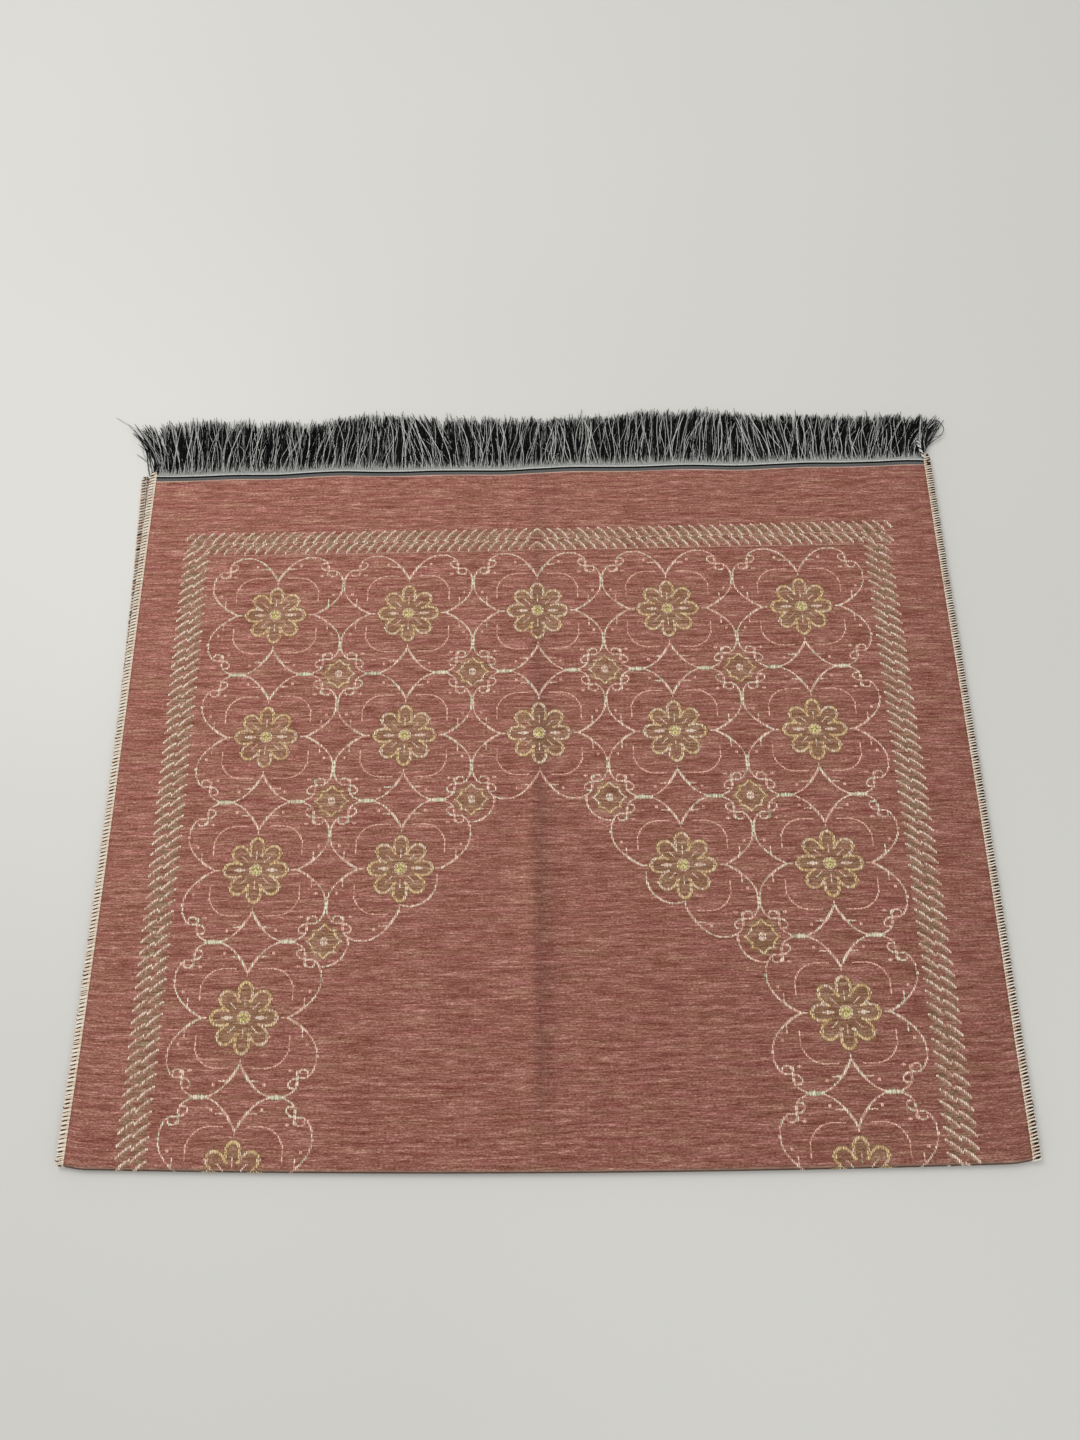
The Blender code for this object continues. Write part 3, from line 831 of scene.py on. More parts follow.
# ---------------- the pattern's layout
COLUMNS = (-0.2251, -0.1113, -0.0014, 0.1087, 0.2215)
DRAWN_PITCH = 0.1110
ROW_PITCH = 0.1104
FIRST_ROW = 0.1357
FOLDED_ROW = 5
LAST_ROW = 9
LOWER_PITCH = (WHOLE_RUN - 2 * FIRST_ROW) / (LAST_ROW - FOLDED_ROW) - ROW_PITCH
PATTERN_SKEW = 0.0072
NICHE_ROW = 3
JOIN_ASIDE = 0.0285
woven = {"lattice": [], "blooms": [], "ropes": []}


def row_run(row):
    seen, beyond = min(row, FOLDED_ROW), max(row - FOLDED_ROW, 0)
    return FIRST_ROW + ROW_PITCH * (seen - 1) + LOWER_PITCH * beyond


def woven_across(across, run):
    """Where a place of the pattern lies on the cloth: the weave runs slightly askew."""
    return across + PATTERN_SKEW * (np.minimum(run, UPPER_RUN) - FIRST_ROW)


def reach_beside(column, flip_x):
    """How far the pattern is stretched to meet the next medallion on this side."""
    beside = column + flip_x
    if not 0 <= beside < len(COLUMNS):
        return 1.0
    return abs(COLUMNS[beside] - COLUMNS[column]) / DRAWN_PITCH


def has_medallion(row, column):
    if not (1 <= row <= LAST_ROW and 0 <= column < len(COLUMNS)):
        return False
    return not ((row == NICHE_ROW and column == 2) or (row > NICHE_ROW and column in (1, 2, 3)))


def medallion_places():
    rows, columns = range(1, LAST_ROW + 1), range(len(COLUMNS))
    return [(row, column) for row in rows for column in columns if has_medallion(row, column)]


def star_places():
    """Where the rosettes lie, between four medallions: across and run."""
    centres = [(COLUMNS[i] + COLUMNS[i + 1]) / 2 for i in range(4)]
    rows = [row_run(row) + ROW_PITCH / 2 for row in range(1, NICHE_ROW + 1)]
    places = [(across, run) for run in rows for across in centres]
    return [(a, run) for a, run in places if run < row_run(NICHE_ROW) or abs(a) > DRAWN_PITCH]


def stamp(group, motif, across, run, flip_x=1, flip_y=1, stretch=1.0):
    """Lay a motif's floats on the cloth; its +Y points to the fringe of the upper layer."""
    for yarn, cut in motif.items():
        ends = np.sort(run - flip_y * cut[:, 1:] * MM, axis=1)
        here = woven_across(across + flip_x * stretch * cut[:, 0] * MM, ends.mean(axis=1))
        row = np.full(len(cut), YARN_ROWS[yarn])
        woven[group].append(np.stack([here, ends[:, 0], ends[:, 1], row], 1))


def lay_pattern():
    motifs = (quadrant(), NICHE_QUADRANT, NICHE_HOOK, flower(), rosette(), UPRIGHT_JOIN, LEVEL_JOIN)
    quarter, niche, hook, bloom, star, upright, level = map(weave, motifs)
    for row, column in medallion_places():
        across, run = COLUMNS[column], row_run(row)
        stamp("blooms", bloom, across, run)
        for flip_x in (-1, 1):
            inward = (column, flip_x) in ((1, 1), (3, -1))
            for flip_y in (-1, 1):
                part = niche if row == NICHE_ROW and inward and flip_y < 0 else quarter
                stamp("lattice", part, across, run, flip_x, flip_y, reach_beside(column, flip_x))
        for aside in (-JOIN_ASIDE, JOIN_ASIDE):
            if has_medallion(row + 1, column):
                stamp("lattice", level, across + aside, (run + row_run(row + 1)) / 2)
            if has_medallion(row, column + 1):
                stamp("lattice", upright, (across + COLUMNS[column + 1]) / 2, run + aside)
    for across, run in star_places():
        stamp("blooms", star, across, run)
        if run > row_run(NICHE_ROW - 1 if abs(across) < DRAWN_PITCH else NICHE_ROW):
            stamp("lattice", hook, across, run, 1 if across < 0 else -1, 1)


BORDER_TOP = 0.0543
BORDER_INNER = 0.0758
BORDER_MIDLINE = 0.0656
BORDER_CENTRE = -0.0029
SIDE_OUTER = 0.3068
SIDE_MIDDLE = 0.2955
SIDE_INNER = 0.2833
SIDE_PITCH = 0.0085
SIDE_START = 0.009
SIDE_SPARE = 0.004
SIDE_SHIFT = {-1: -0.0042, 1: 0.0013}
END_PITCH = 0.00887
END_CENTRE = -0.0009
END_REACH = 9.2
END_SPARE = 0.7
END_BOW = 0.0017
LEAST_KEPT = 0.5
INNER_LINE = 0.0016
STROKE_STRAY = 0.0002
STROKE_INSETS = (0.0002, 0.0003)
ROW_GAPS = (0.0005, 0.0006)
# Each stroke is a low pad with a painted highlight, a bright line along its upper edge, and a
# painted shadow, a dark line below it.
PAD_HALF = 1.8
PAD_STATIONS = np.array([0.0, 0.05, 0.16, 0.36, 0.64, 0.84, 0.95, 1.0])
PAD_WIDTHS = np.array([0.20, 0.50, 0.84, 1.00, 0.98, 0.76, 0.42, 0.15])
PAD_SPREAD = np.array([-1.0, -0.5, 0.5, 1.0])
PAD_CROWN = np.array([-0.15, 0.85, 1.0, -0.15])
PAD_RISE = 0.00020
PAD_FULLNESS = 1.4
ROPE_LINE_LIFT = 0.00012
HIGHLIGHT_WIDTHS = [1.2, 1.8, 1.8, 1.3]
KNOTTED_HIGHLIGHT_WIDTHS = [1.2, 1.5, 1.5, 2.0]
SHADOW_WIDTHS = [0.3, 0.6, 0.6, 0.3]
LINE_SHARES = np.array([0.02, 0.30, 0.65, 0.97])
HIGHLIGHT_EDGE, SHADOW_EDGE = 0.55, 1.05
# Rows of strokes along the sides: outer and inner edge, rise in millimetres, offset in pitches.
SIDE_ROWS = ((SIDE_OUTER, SIDE_MIDDLE, 8.6, 0.0), (SIDE_MIDDLE, SIDE_INNER, 9.6, 0.25))
# Rows across the ends: near and far edge, offset in pitches, widths of the painted highlight lines.
END_ROWS = (
    (BORDER_TOP, BORDER_MIDLINE, 0.0, KNOTTED_HIGHLIGHT_WIDTHS),
    (BORDER_MIDLINE, BORDER_INNER, 0.75, HIGHLIGHT_WIDTHS),
)
rope_strokes = []


def stroke(reach_x, reach_y, widths):
    """Painted highlight and painted shadow lines of a stroke from the origin to this reach."""
    way = np.array([reach_x, reach_y])
    above = np.array([-way[1], way[0]]) / np.linalg.norm(way)
    edge = np.interp(LINE_SHARES, PAD_STATIONS, PAD_WIDTHS) * PAD_HALF
    bright = way * LINE_SHARES[:, None] + above * (edge * HIGHLIGHT_EDGE)[:, None]
    dark = way * LINE_SHARES[:, None] - above * (edge * SHADOW_EDGE)[:, None]
    return weave({"rope": [(bright, widths)], "shade": [(dark, SHADOW_WIDTHS)]})


def lay_stroke(motif, reach, across, run, flip_x, flip_y):
    stamp("ropes", motif, across, run, flip_x, flip_y)
    rope_strokes.append((woven_across(across, run), run, flip_x * reach[0], -flip_y * reach[1]))


def lay_ropes(rng):
    """Two rows of slanting strokes along each side, and across both ends."""
    count = int((WHOLE_RUN - 2 * BORDER_INNER) / SIDE_PITCH)
    for outer, inner, rise, offset in SIDE_ROWS:
        reach = (outer - inner - ROW_GAPS[0]) / MM, rise
        slanted = stroke(*reach, HIGHLIGHT_WIDTHS)
        for side in (-1, 1):
            across = BORDER_CENTRE + side * (outer - STROKE_INSETS[0])
            for step in range(-1, count + 2):
                run = BORDER_INNER + (step + offset) * SIDE_PITCH + SIDE_START
                run = run + rng.normal(0.0, STROKE_STRAY) + SIDE_SHIFT[side]
                if BORDER_INNER <= run <= WHOLE_RUN - BORDER_INNER + SIDE_SPARE:
                    lay_stroke(slanted, reach, across, run, -side, 1)
    count = int(SIDE_OUTER / END_PITCH) + 1
    for near, far, offset, widths in END_ROWS:
        full_reach = np.array([END_REACH, -(far - near - ROW_GAPS[1]) / MM])
        slanted = stroke(*full_reach, widths)
        for side in (-1, 1):
            for step in range(-1, count):
                out = (step + offset) * END_PITCH + rng.normal(0.0, STROKE_STRAY)
                # A stroke is cut off where it would pass the middle or the border's outer edge.
                early = max(-out / MM, 0.0) / END_REACH
                late = max((out - SIDE_OUTER) / MM + END_REACH - END_SPARE, 0.0) / END_REACH
                kept = 1.0 - early - late
                if kept > LEAST_KEPT:
                    reach = full_reach * kept
                    motif = slanted if kept == 1.0 else stroke(*reach, widths)
                    across = END_CENTRE + side * max(out, 0.0)
                    bow = END_BOW * (1.0 - (out / SIDE_OUTER) ** 2)
                    run = near + STROKE_INSETS[1] + bow + early * (far - near)
                    lay_stroke(motif, reach, across, run, side, 1)
                    lay_stroke(motif, reach, across, WHOLE_RUN - run, side, -1)
    half = SIDE_INNER / MM
    line = weave({"tan": [([(-half, 0.0), (half, 0.0)], 0.4)]})
    for run in (BORDER_MIDLINE, BORDER_INNER + INNER_LINE):
        stamp("ropes", line, BORDER_CENTRE, run)
        stamp("ropes", line, BORDER_CENTRE, WHOLE_RUN - run)


FLOAT_WIDTH = 0.00090
FLOAT_RISE = 0.00030
LOWER_FLOAT_RISE = 0.00016
FLOAT_SHARES = np.array([0.0, 0.26, 0.74, 1.0])
FLOAT_TAPER = np.array([0.60, 1.0, 1.0, 0.60])
FLOAT_SPREAD = np.array([-0.5, 0.0, 0.5])
# Heights over the cloth of a float's points: it dips at both ends and along both sides.
FLOAT_LIFT = np.array([[-0.1] * 3, [0.0, 1.0, 0.0], [0.0, 1.0, 0.0], [-0.1] * 3])
FLOAT_RISES = (0.7, 1.1)
SHADE_RISE = 0.35
FLOAT_STRAY = 0.00008
FLOAT_STRAY_ASIDE = 0.00005
FLOAT_BRIGHTNESS = (1.1, 0.9)
TONE_SLOPE = 0.8
ROW_MARGIN = 0.04
SAME_ACROSS = 0.0005
SAME_ALONG = 0.0009
# Limits of chance for a swap of yarn: on the whole, and how far the place changes them.
TAN_BELOW = (0.12, 0.10)
PALE_BELOW = (0.14, 0.10)
PINK_ABOVE = (0.72, 0.08)
WORN_ABOVE = (0.80, 0.30, -0.34)
WORN_REACH = 0.16


def varied(group, rows, across, run, rng):
    """Swap some yarn for its neighbours in colour, more in some places than in others."""
    drift = np.sin(across * 23.0 + 1.3) * np.sin(run * 17.0 + 0.4)
    drift = drift + np.sin(across * 61.0 - run * 47.0)
    chance = rng.random(len(rows))
    if group == "ropes":
        swap = (rows == YARN_ROWS["rope"]) & (chance < TAN_BELOW[0] + TAN_BELOW[1] * drift)
        return np.where(swap, YARN_ROWS["tan"], rows)
    cream, gold = rows == YARN_ROWS["cream"], rows == YARN_ROWS["gold"]
    pinker = cream & (chance > PINK_ABOVE[0] + PINK_ABOVE[1] * drift)
    greener = cream & (chance < PALE_BELOW[0] + PALE_BELOW[1] * drift)
    # The gold has worn paler in patches, and towards the middle of the rug.
    patch = np.sin(across * 190.0 + 0.7) * np.sin(run * 160.0)
    middle = np.exp(-((across / WORN_REACH) ** 2))
    worn = gold & (chance > WORN_ABOVE[0] + WORN_ABOVE[1] * patch + WORN_ABOVE[2] * middle)
    rows = np.where(pinker, YARN_ROWS["pink"], rows)
    rows = np.where(greener, YARN_ROWS["pale"], rows)
    return np.where(worn, YARN_ROWS["cream"], rows)


def float_piece(group, rng):
    """All floats of a group as one piece: each is a short raised bar that dips at both ends."""
    cut = np.concatenate(woven[group])
    # Where two floats share a place, the longer one is kept.
    cut = cut[np.argsort(cut[:, 1] - cut[:, 2], kind="stable")]
    cell = np.stack([cut[:, 0] / SAME_ACROSS, (cut[:, 1] + cut[:, 2]) / 2 / SAME_ALONG], 1)
    cut = cut[np.sort(np.unique(np.round(cell).astype(int), axis=0, return_index=True)[1])]
    # The floats that lie face down on the floor come last; they are flat and plain.
    hidden = face_down((cut[:, 1] + cut[:, 2]) / 2)
    cut = np.concatenate([cut[~hidden], cut[hidden]])
    count, shown = len(cut), np.count_nonzero(~hidden)
    rows = varied(group, cut[:, 3], cut[:, 0], cut[:, 1], rng)
    middle = cut[:, 0] + rng.normal(0.0, FLOAT_STRAY_ASIDE, count)
    first = cut[:, 1] + rng.normal(0.0, FLOAT_STRAY, count)
    last = cut[:, 2] + rng.normal(0.0, FLOAT_STRAY, count)
    rise = FLOAT_RISE * rng.uniform(*FLOAT_RISES, count)
    shaded = rows == YARN_ROWS["shade"]
    rise = np.where(shaded, rise * SHADE_RISE, rise)
    lifted = np.where((group == "ropes") & ~shaded, ROPE_LINE_LIFT, 0.0)
    height = SHEET_HALF + lifted[:, None, None] + rise[:, None, None] * FLOAT_LIFT
    bright = (np.floor(rng.beta(*FLOAT_BRIGHTNESS, count) * TONES) + 0.5) / TONES
    points, faces, places, start = [], [], [], 0
    ends, flat = [0, -1], SHEET_HALF + LOWER_FLOAT_RISE
    for part, shares, spread, taper, lift in (
        (slice(0, shown), FLOAT_SHARES, FLOAT_SPREAD, FLOAT_TAPER[:, None], height[:shown]),
        (slice(shown, count), FLOAT_SHARES[ends], FLOAT_SPREAD[ends], 1.0, flat),
    ):
        run = first[part, None] + (last - first)[part, None] * shares
        across = middle[part, None, None] + FLOAT_WIDTH * spread * taper
        made = on_cloth(across, run[:, :, None], lift)
        index = start + np.arange(made[..., 0].size).reshape(made.shape[:3])
        tone = bright[part, None, None] + TONE_SLOPE / TONES * spread
        place = (rows[part, None] + ROW_MARGIN + (1 - 2 * ROW_MARGIN) * shares) / len(YARNS)
        points.append(made.reshape(-1, 3))
        faces.append(grid_faces(index)[:, FLIPPED])
        places.append(paired(tone, place[:, :, None]).reshape(-1, 2))
        start += index.size
    points, faces, places = map(np.concatenate, (points, faces, places))
    return root_piece(f"floats_{group}", points, faces, yarn_look, OFBake=places)


# ---------------- tinted grounds under motifs
GROUND_RISE = 0.00004
BLOOM_GROUND = (23.6, 2.4)
STAR_GROUND = 13.6
BAND_INSET = 0.0026
BAND_STEP = 0.006
SIDE_BAND_STEP = 0.0035


def fan(across, run, radii, turns, rings=4):
    """A disc of the given outline laid on the cloth, in rings."""
    share = np.linspace(0.0, MM, rings + 1)[1:, None]
    x, y = ((share * radii * way(turns)).ravel() for way in (np.cos, np.sin))
    places = np.concatenate([[[across, run]], np.stack([across + x, run - y], 1)])
    ring = 1 + np.arange(x.size).reshape(rings, -1)
    ring = np.concatenate([ring, ring[:, :1]], 1)
    heart = np.stack([np.zeros(len(turns), int), ring[0, :-1], ring[0, 1:]], 1)
    return places, heart.tolist() + grid_faces(ring)[:, FLIPPED].tolist()


def band(*spans, step=BAND_STEP):
    """A rectangle of cloth between two places across and two along."""
    counts = [max(2, int(abs(end - start) / step) + 1) for start, end in spans]
    across, run = np.meshgrid(*(np.linspace(*span, count) for span, count in zip(spans, counts)))
    faces = grid_faces(np.arange(across.size).reshape(across.shape))[:, FLIPPED]
    return np.stack([across.ravel(), run.ravel()], 1), faces.tolist()


def ground_piece(name, patches, material):
    """Patches of cloth colour; a patch is its places on the cloth and its faces."""
    faces, start = [], 0
    for places, patch_faces in patches:
        faces += [[corner + start for corner in face] for face in patch_faces]
        start += len(places)
    metres = np.concatenate([places for places, _ in patches])
    across = woven_across(metres[:, 0], metres[:, 1])
    points = on_cloth(across, metres[:, 1], SHEET_HALF + GROUND_RISE)
    return root_piece(name, points, faces, material, slot="rose_chenille", cloth=metres)


def make_grounds():
    turns = np.linspace(0.0, 2 * math.pi, 64, endpoint=False)
    bloom = BLOOM_GROUND[0] + BLOOM_GROUND[1] * np.cos(8 * turns)
    star = np.full(len(turns), STAR_GROUND)
    blooms = [fan(COLUMNS[c], row_run(row), bloom, turns) for row, c in medallion_places()]
    blooms += [fan(across, run, star, turns, 3) for across, run in star_places()]
    near, far = BORDER_TOP + BAND_INSET, BORDER_INNER - BAND_INSET
    outer, inner = SIDE_OUTER - BAND_INSET, SIDE_INNER + BAND_INSET
    left, right = BORDER_CENTRE - outer, BORDER_CENTRE + outer
    bands = [
        band((left, right), (near, far)),
        band((left, right), (WHOLE_RUN - far, WHOLE_RUN - near)),
        band((left, BORDER_CENTRE - inner), (far, WHOLE_RUN - far), step=SIDE_BAND_STEP),
        band((BORDER_CENTRE + inner, right), (far, WHOLE_RUN - far), step=SIDE_BAND_STEP),
    ]
    return [
        ground_piece("motif_grounds", blooms, olive_look),
        ground_piece("border_grounds", bands, border_look),
    ]


def make_pads():
    """The padded bodies of all rope strokes."""
    strokes = np.array(rope_strokes)
    start, way = strokes[:, None, :2], strokes[:, None, 2:] * MM
    aside = np.stack([-way[..., 1], way[..., 0]], -1) / np.linalg.norm(way, axis=2, keepdims=True)
    half = PAD_HALF * MM * PAD_WIDTHS[:, None, None] * PAD_SPREAD[:, None]
    metres = (start + way * PAD_STATIONS[:, None])[:, :, None] + aside[:, :, None] * half
    across, run = metres[..., 0], metres[..., 1]
    rise = PAD_RISE * PAD_CROWN * np.minimum(1.0, PAD_WIDTHS[:, None] * PAD_FULLNESS)
    rise = off_floor(run, rise, LOWER_FLOAT_RISE)
    points = on_cloth(across, run, SHEET_HALF + GROUND_RISE + rise).reshape(-1, 3)
    faces = grid_faces(np.arange(across.size).reshape(across.shape))
    cloth = metres.reshape(-1, 2)
    return root_piece("rope_pads", points, faces, rope_look(), slot="rose_chenille", cloth=cloth)


# ---------------- overlocked edges
# The threads lie in pairs on the left edge: the pitch of the pairs and the step in a pair.
STITCH_PITCH = {-1: 0.0030, 1: 0.0047}
PAIR_STEP = {-1: 0.00098, 1: 0.00235}
FIRST_STITCH = -BINDING_OVERRUN + 0.0006
LAST_STITCH_SPARE = 0.003
STITCH_STRAY = 0.00010
WRAP_STRAY = 0.00012
# How far a wrap runs on along the rug from the inner edge to the outer: left, right.
STITCH_SLANT = {-1: 0.0020, 1: -0.0014}
# Stations of a wrap: inset and height over the middle surface, in millimetres, and shares of
# the slant and of the radius.
WRAP_MM = (
    (6.8, 0.40, 0.00, 0.48), (6.2, 0.88, 0.08, 0.88), (3.8, 1.00, 0.40, 0.94),
    (1.4, 0.88, 0.78, 0.88), (0.3, 0.30, 1.00, 0.76), (0.3, -0.30, 1.05, 0.74),
    (1.4, -0.78, 1.25, 0.70), (3.8, -0.84, 1.60, 0.68), (6.4, -0.62, 2.00, 0.40),
)
WRAP_RADIUS = 0.00062
WRAP_GIRTHS = (0.86, 1.08)
LOWER_WRAP_HEIGHT = 0.00046
# The needle thread: short bars along the binding's inner edge, on both sides.
BAR_INSET = 0.0064
BAR_RUNS = np.array([-0.4, 0.5, 1.3]) * MM
BAR_HEIGHTS = np.array([(0.80, 1.15, 0.80), (-0.60, -0.85, -0.60)]) * MM
BAR_RADIUS = 0.00031
LOWER_BAR_HEIGHT = 0.00070
TAIL_LENGTH = 0.0040
TAIL_SHARE = 0.60
BINDING_MIDDLE = 0.0035
# Tones of the wraps on the face side and on the back, with how often each comes.
FACE_TONES = ((0.03, 0.08, 0.14, 0.20), (0.34, 0.34, 0.22, 0.10))
BACK_TONES = {
    -1: ((0.10, 0.20, 0.42, 0.76), (0.50, 0.26, 0.16, 0.08)),
    1: ((0.10, 0.42, 0.62, 0.90), (0.40, 0.10, 0.22, 0.28)),
}
# Where the back's tone sets in, early or late along a wrap, and how often it is early.
TURNS = (0.42, 0.56)
EARLY_TURN = {-1: 0.25, 1: 0.55}
# Dark warp threads are caught in the tails, which look speckled.
TAIL_TONES = (0.05, 0.12, 0.34)
# The dense thread under the wraps, as flat strands along the edge, dark at the outside:
# inset and lift in millimetres, and tone, on the face side and then on the back.
CORE_MM = {
    -1: (
        (6.0, 0.60, 0.25), (5.1, 0.50, 0.25), (3.8, 0.34, 0.76), (2.5, 0.34, 0.76),
        (6.0, -0.30, 0.76), (4.6, -0.34, 0.62), (3.2, -0.34, 0.80), (1.6, -0.20, 0.90),
    ),
    1: (
        (5.8, 0.36, 0.26), (4.6, 0.36, 0.38), (3.4, 0.40, 0.76), (2.2, 0.44, 0.76),
        (6.0, -0.30, 0.76), (4.6, -0.34, 0.62), (3.2, -0.34, 0.80), (1.2, 0.00, 0.90),
    ),
}
CORE_RADIUS = 0.00060
LOWER_CORE_HEIGHT = 0.00050
CORE_FLECKS = 40
TAIL_RUNS = np.array([0.0, 0.4, 1.2, 2.6, 4.6, 7.5]) * MM - BINDING_OVERRUN


def on_binding(side, inset, run, height, most):
    """Points on a binding, which narrows to a tail past each end of the cloth."""
    left = np.minimum(run, WHOLE_RUN - run) + BINDING_OVERRUN
    share = TAIL_SHARE + (1.0 - TAIL_SHARE) * np.sqrt(np.clip(left / TAIL_LENGTH, 0.0, 1.0))
    inset = BINDING_MIDDLE + (inset - BINDING_MIDDLE) * share
    return on_cloth(side * (HALF_WIDTH - inset), run, off_floor(run, height, most))


def make_overlock(side, rng, material):
    inset, height, lead, swell = np.array(WRAP_MM).T
    room = WHOLE_RUN + 2 * BINDING_OVERRUN - LAST_STITCH_SPARE
    stitches = 2 * int(room / STITCH_PITCH[side])
    pair, step = np.divmod(np.arange(stitches), 2)
    at = FIRST_STITCH + pair * STITCH_PITCH[side] + step * PAIR_STEP[side]
    at = at + rng.normal(0.0, STITCH_STRAY, stitches)
    run = at[:, None] + lead * STITCH_SLANT[side]
    run = run + rng.normal(0.0, WRAP_STRAY, (stitches, len(lead)))
    paths = on_binding(side, inset * MM, run, height * MM, LOWER_WRAP_HEIGHT)
    radii = WRAP_RADIUS * swell * rng.uniform(*WRAP_GIRTHS, (stitches, 1))
    face_tone = rng.choice(FACE_TONES[0], (stitches, 1), p=FACE_TONES[1])
    back_tone = rng.choice(BACK_TONES[side][0], (stitches, 1), p=BACK_TONES[side][1])
    position = np.linspace(0.0, 1.0, len(lead))
    turned = np.where(rng.random((stitches, 1)) < EARLY_TURN[side], *TURNS)
    tone = np.where(position < turned, face_tone, back_tone)
    speckle = rng.choice(TAIL_TONES, tone.shape)
    tone = np.where(((at < 0.0) | (at > WHOLE_RUN))[:, None], speckle, tone)
    bundles = [(paths, radii, 4, paired(tone, position))]
    run = at[:, None] + BAR_RUNS
    for height, tone in zip(BAR_HEIGHTS, (face_tone, back_tone)):
        bar = on_binding(side, BAR_INSET, run, height, LOWER_BAR_HEIGHT)
        bundles.append((bar, BAR_RADIUS, 4, paired(tone, [0.0, 0.5, 1.0])))
    run = np.concatenate([TAIL_RUNS, cloth_runs(), WHOLE_RUN - TAIL_RUNS[::-1]])
    for inset, height, tone in CORE_MM[side]:
        line = on_binding(side, inset * MM, run, height * MM, LOWER_CORE_HEIGHT)
        bundles.append((line[None], CORE_RADIUS, 4, paired(tone, run * CORE_FLECKS % 1.0)))
    word = "left" if side < 0 else "right"
    return tube_piece(f"overlock_{word}", bundles, material, f"binding_{word}", "cream_overlock")


# ---------------- headings and fringes
HEADING_PROFILE = [0.0, 0.04, 0.08, 0.18, 0.28, 0.36, 0.44, 0.52, 0.60, 0.68, 0.80, 0.90, 1.0]
HEADING_COLUMNS = 260
HEADING_EDGE = HALF_WIDTH - TONGUE_SHOULDER + 0.004
HEADING_START = PIECE_GAP * 0.3
HEADING_RIB = 0.00012
HEADING_RIB_RATE = 60.0
HEADING_REST = 0.00005
HEADING_TAPER = 0.45


def make_heading(name, end_run, direction, rests, material):
    columns = np.linspace(-HEADING_EDGE, HEADING_EDGE, HEADING_COLUMNS)
    across, share = np.meshgrid(columns, HEADING_PROFILE)
    run = end_run + direction * (HEADING_START + share * HEADING_WIDTH)
    x, y, z = np.moveaxis(middle_points(across, run) + FRAME_SHIFT, -1, 0)
    thin = HALF_WIDTH - np.abs(across) < TONGUE_SHOULDER
    low = np.full_like(z, HEADING_REST) if rests else z - HEADING_THICKNESS / 2
    high = np.where(thin, z + TONGUE_THICKNESS / 2, low + HEADING_THICKNESS)
    low = np.where(thin, z - TONGUE_THICKNESS / 2, low)
    taper = 1.0 - HEADING_TAPER * ease((share - 0.8) / 0.2)
    rib = HEADING_RIB * np.sin(share * HEADING_RIB_RATE)
    high = low + (high - low) * taper + np.where(thin, 0.0, rib)
    return slab_piece(
        name, [np.stack([x, y, high], -1), np.stack([x, y, low], -1)],
        np.stack([across, share], -1), "stripe", HEADING_BAKE, True, material, slot="grey_warp",
    )


# How the fringes are combed, in millimetres: place across, sideways shift of the tips, reach.
UPPER_COMBING = (
    (-339, -27, 48), (-328, -10, 52), (-300, -3, 53), (-265, 2, 50), (-235, 3, 49),
    (-216, -6, 48), (-207, 7, 48), (-180, 5, 52), (-150, 3, 55), (-95, -13, 51),
    (-75, -11, 50), (-45, -1, 49), (-15, 3, 48), (12, 0, 45), (27, -4, 48),
    (36, 6, 49), (55, -1, 45), (80, 6, 52), (150, 6, 52), (200, -6, 47),
    (225, 1, 44), (270, 8, 42), (315, 9, 41), (333, 15, 40), (339, 24, 38),
)
LOWER_COMBING = (
    (-339, -14, 43), (-325, -4, 45), (-240, -3, 47), (-190, 2, 46), (-120, -5, 49),
    (-60, 3, 47), (0, -2, 45), (70, 4, 47), (140, -2, 47), (230, 4, 43),
    (310, 5, 40), (339, 10, 37),
)
HEADING_REACH = PIECE_GAP + HEADING_WIDTH
FRINGE_EDGE = HALF_WIDTH - TONGUE_SHOULDER - 0.0012
YARN_STATIONS = np.array([0.0, 0.08, 0.18, 0.30, 0.44, 0.58, 0.72, 0.86, 1.0])
YARN_TONES = 24
# Yarns of a fringe: share of all, radius, tones, layer, how far the tips stray, and bend.
YARN_KINDS = (
    (0.75, 0.00044, (0.00, 0.09), (0.0, 0.85), 0.0032, 0.0013),
    (0.09, 0.00036, (0.36, 0.62), (0.2, 0.9), 0.0044, 0.0017),
    (0.16, 0.00036, (0.76, 0.99), (0.5, 1.0), 0.0060, 0.0023),
)
ROOT_START = (0.0024, 0.0036)
# Where the pale roots end: the map's row, and shares of a yarn's length.
ROOT_ROW = 0.20
PALE_ROOTS = (0.05, 0.24)
DARK_ROOTS = 0.28
DARK_ROOT_END = 0.04
MAP_MARGIN = 0.02
# Yarns cut short: how often, and what is left of them.
CUT_SHORT = 0.24
CUT_LEFT = (0.55, 0.92)
# Locks of neighbouring yarns, which lean together and draw in towards their middle.
LOCK_GATHER = 0.12
LOCK_WIDTHS = (0.0035, 0.0110)
LOCK_LEAN = 0.0022
LONGER = 0.0022
REACH_STRAY = 0.0026
# How the yarns lie, by shares of their length: on the floor, or falling from the heading.
FLOOR_SHARES = (0.0, 0.12, 1.0)
FLOOR_HEIGHTS = (0.00115, 0.00010, 0.00005)
FLOOR_ROOM = (0.00045, 0.0010, 0.0010)
FALL_SHARES = (0.0, 0.18, 0.44, 0.72, 1.0)
FALL = (0.0, 0.45, 0.82, 0.95, 1.0)
FALLEN_HEIGHT = 0.0017
FALLEN_ROOM = 0.0016
TIP_DROP = 0.0002
ROOT_SINK = 0.0002
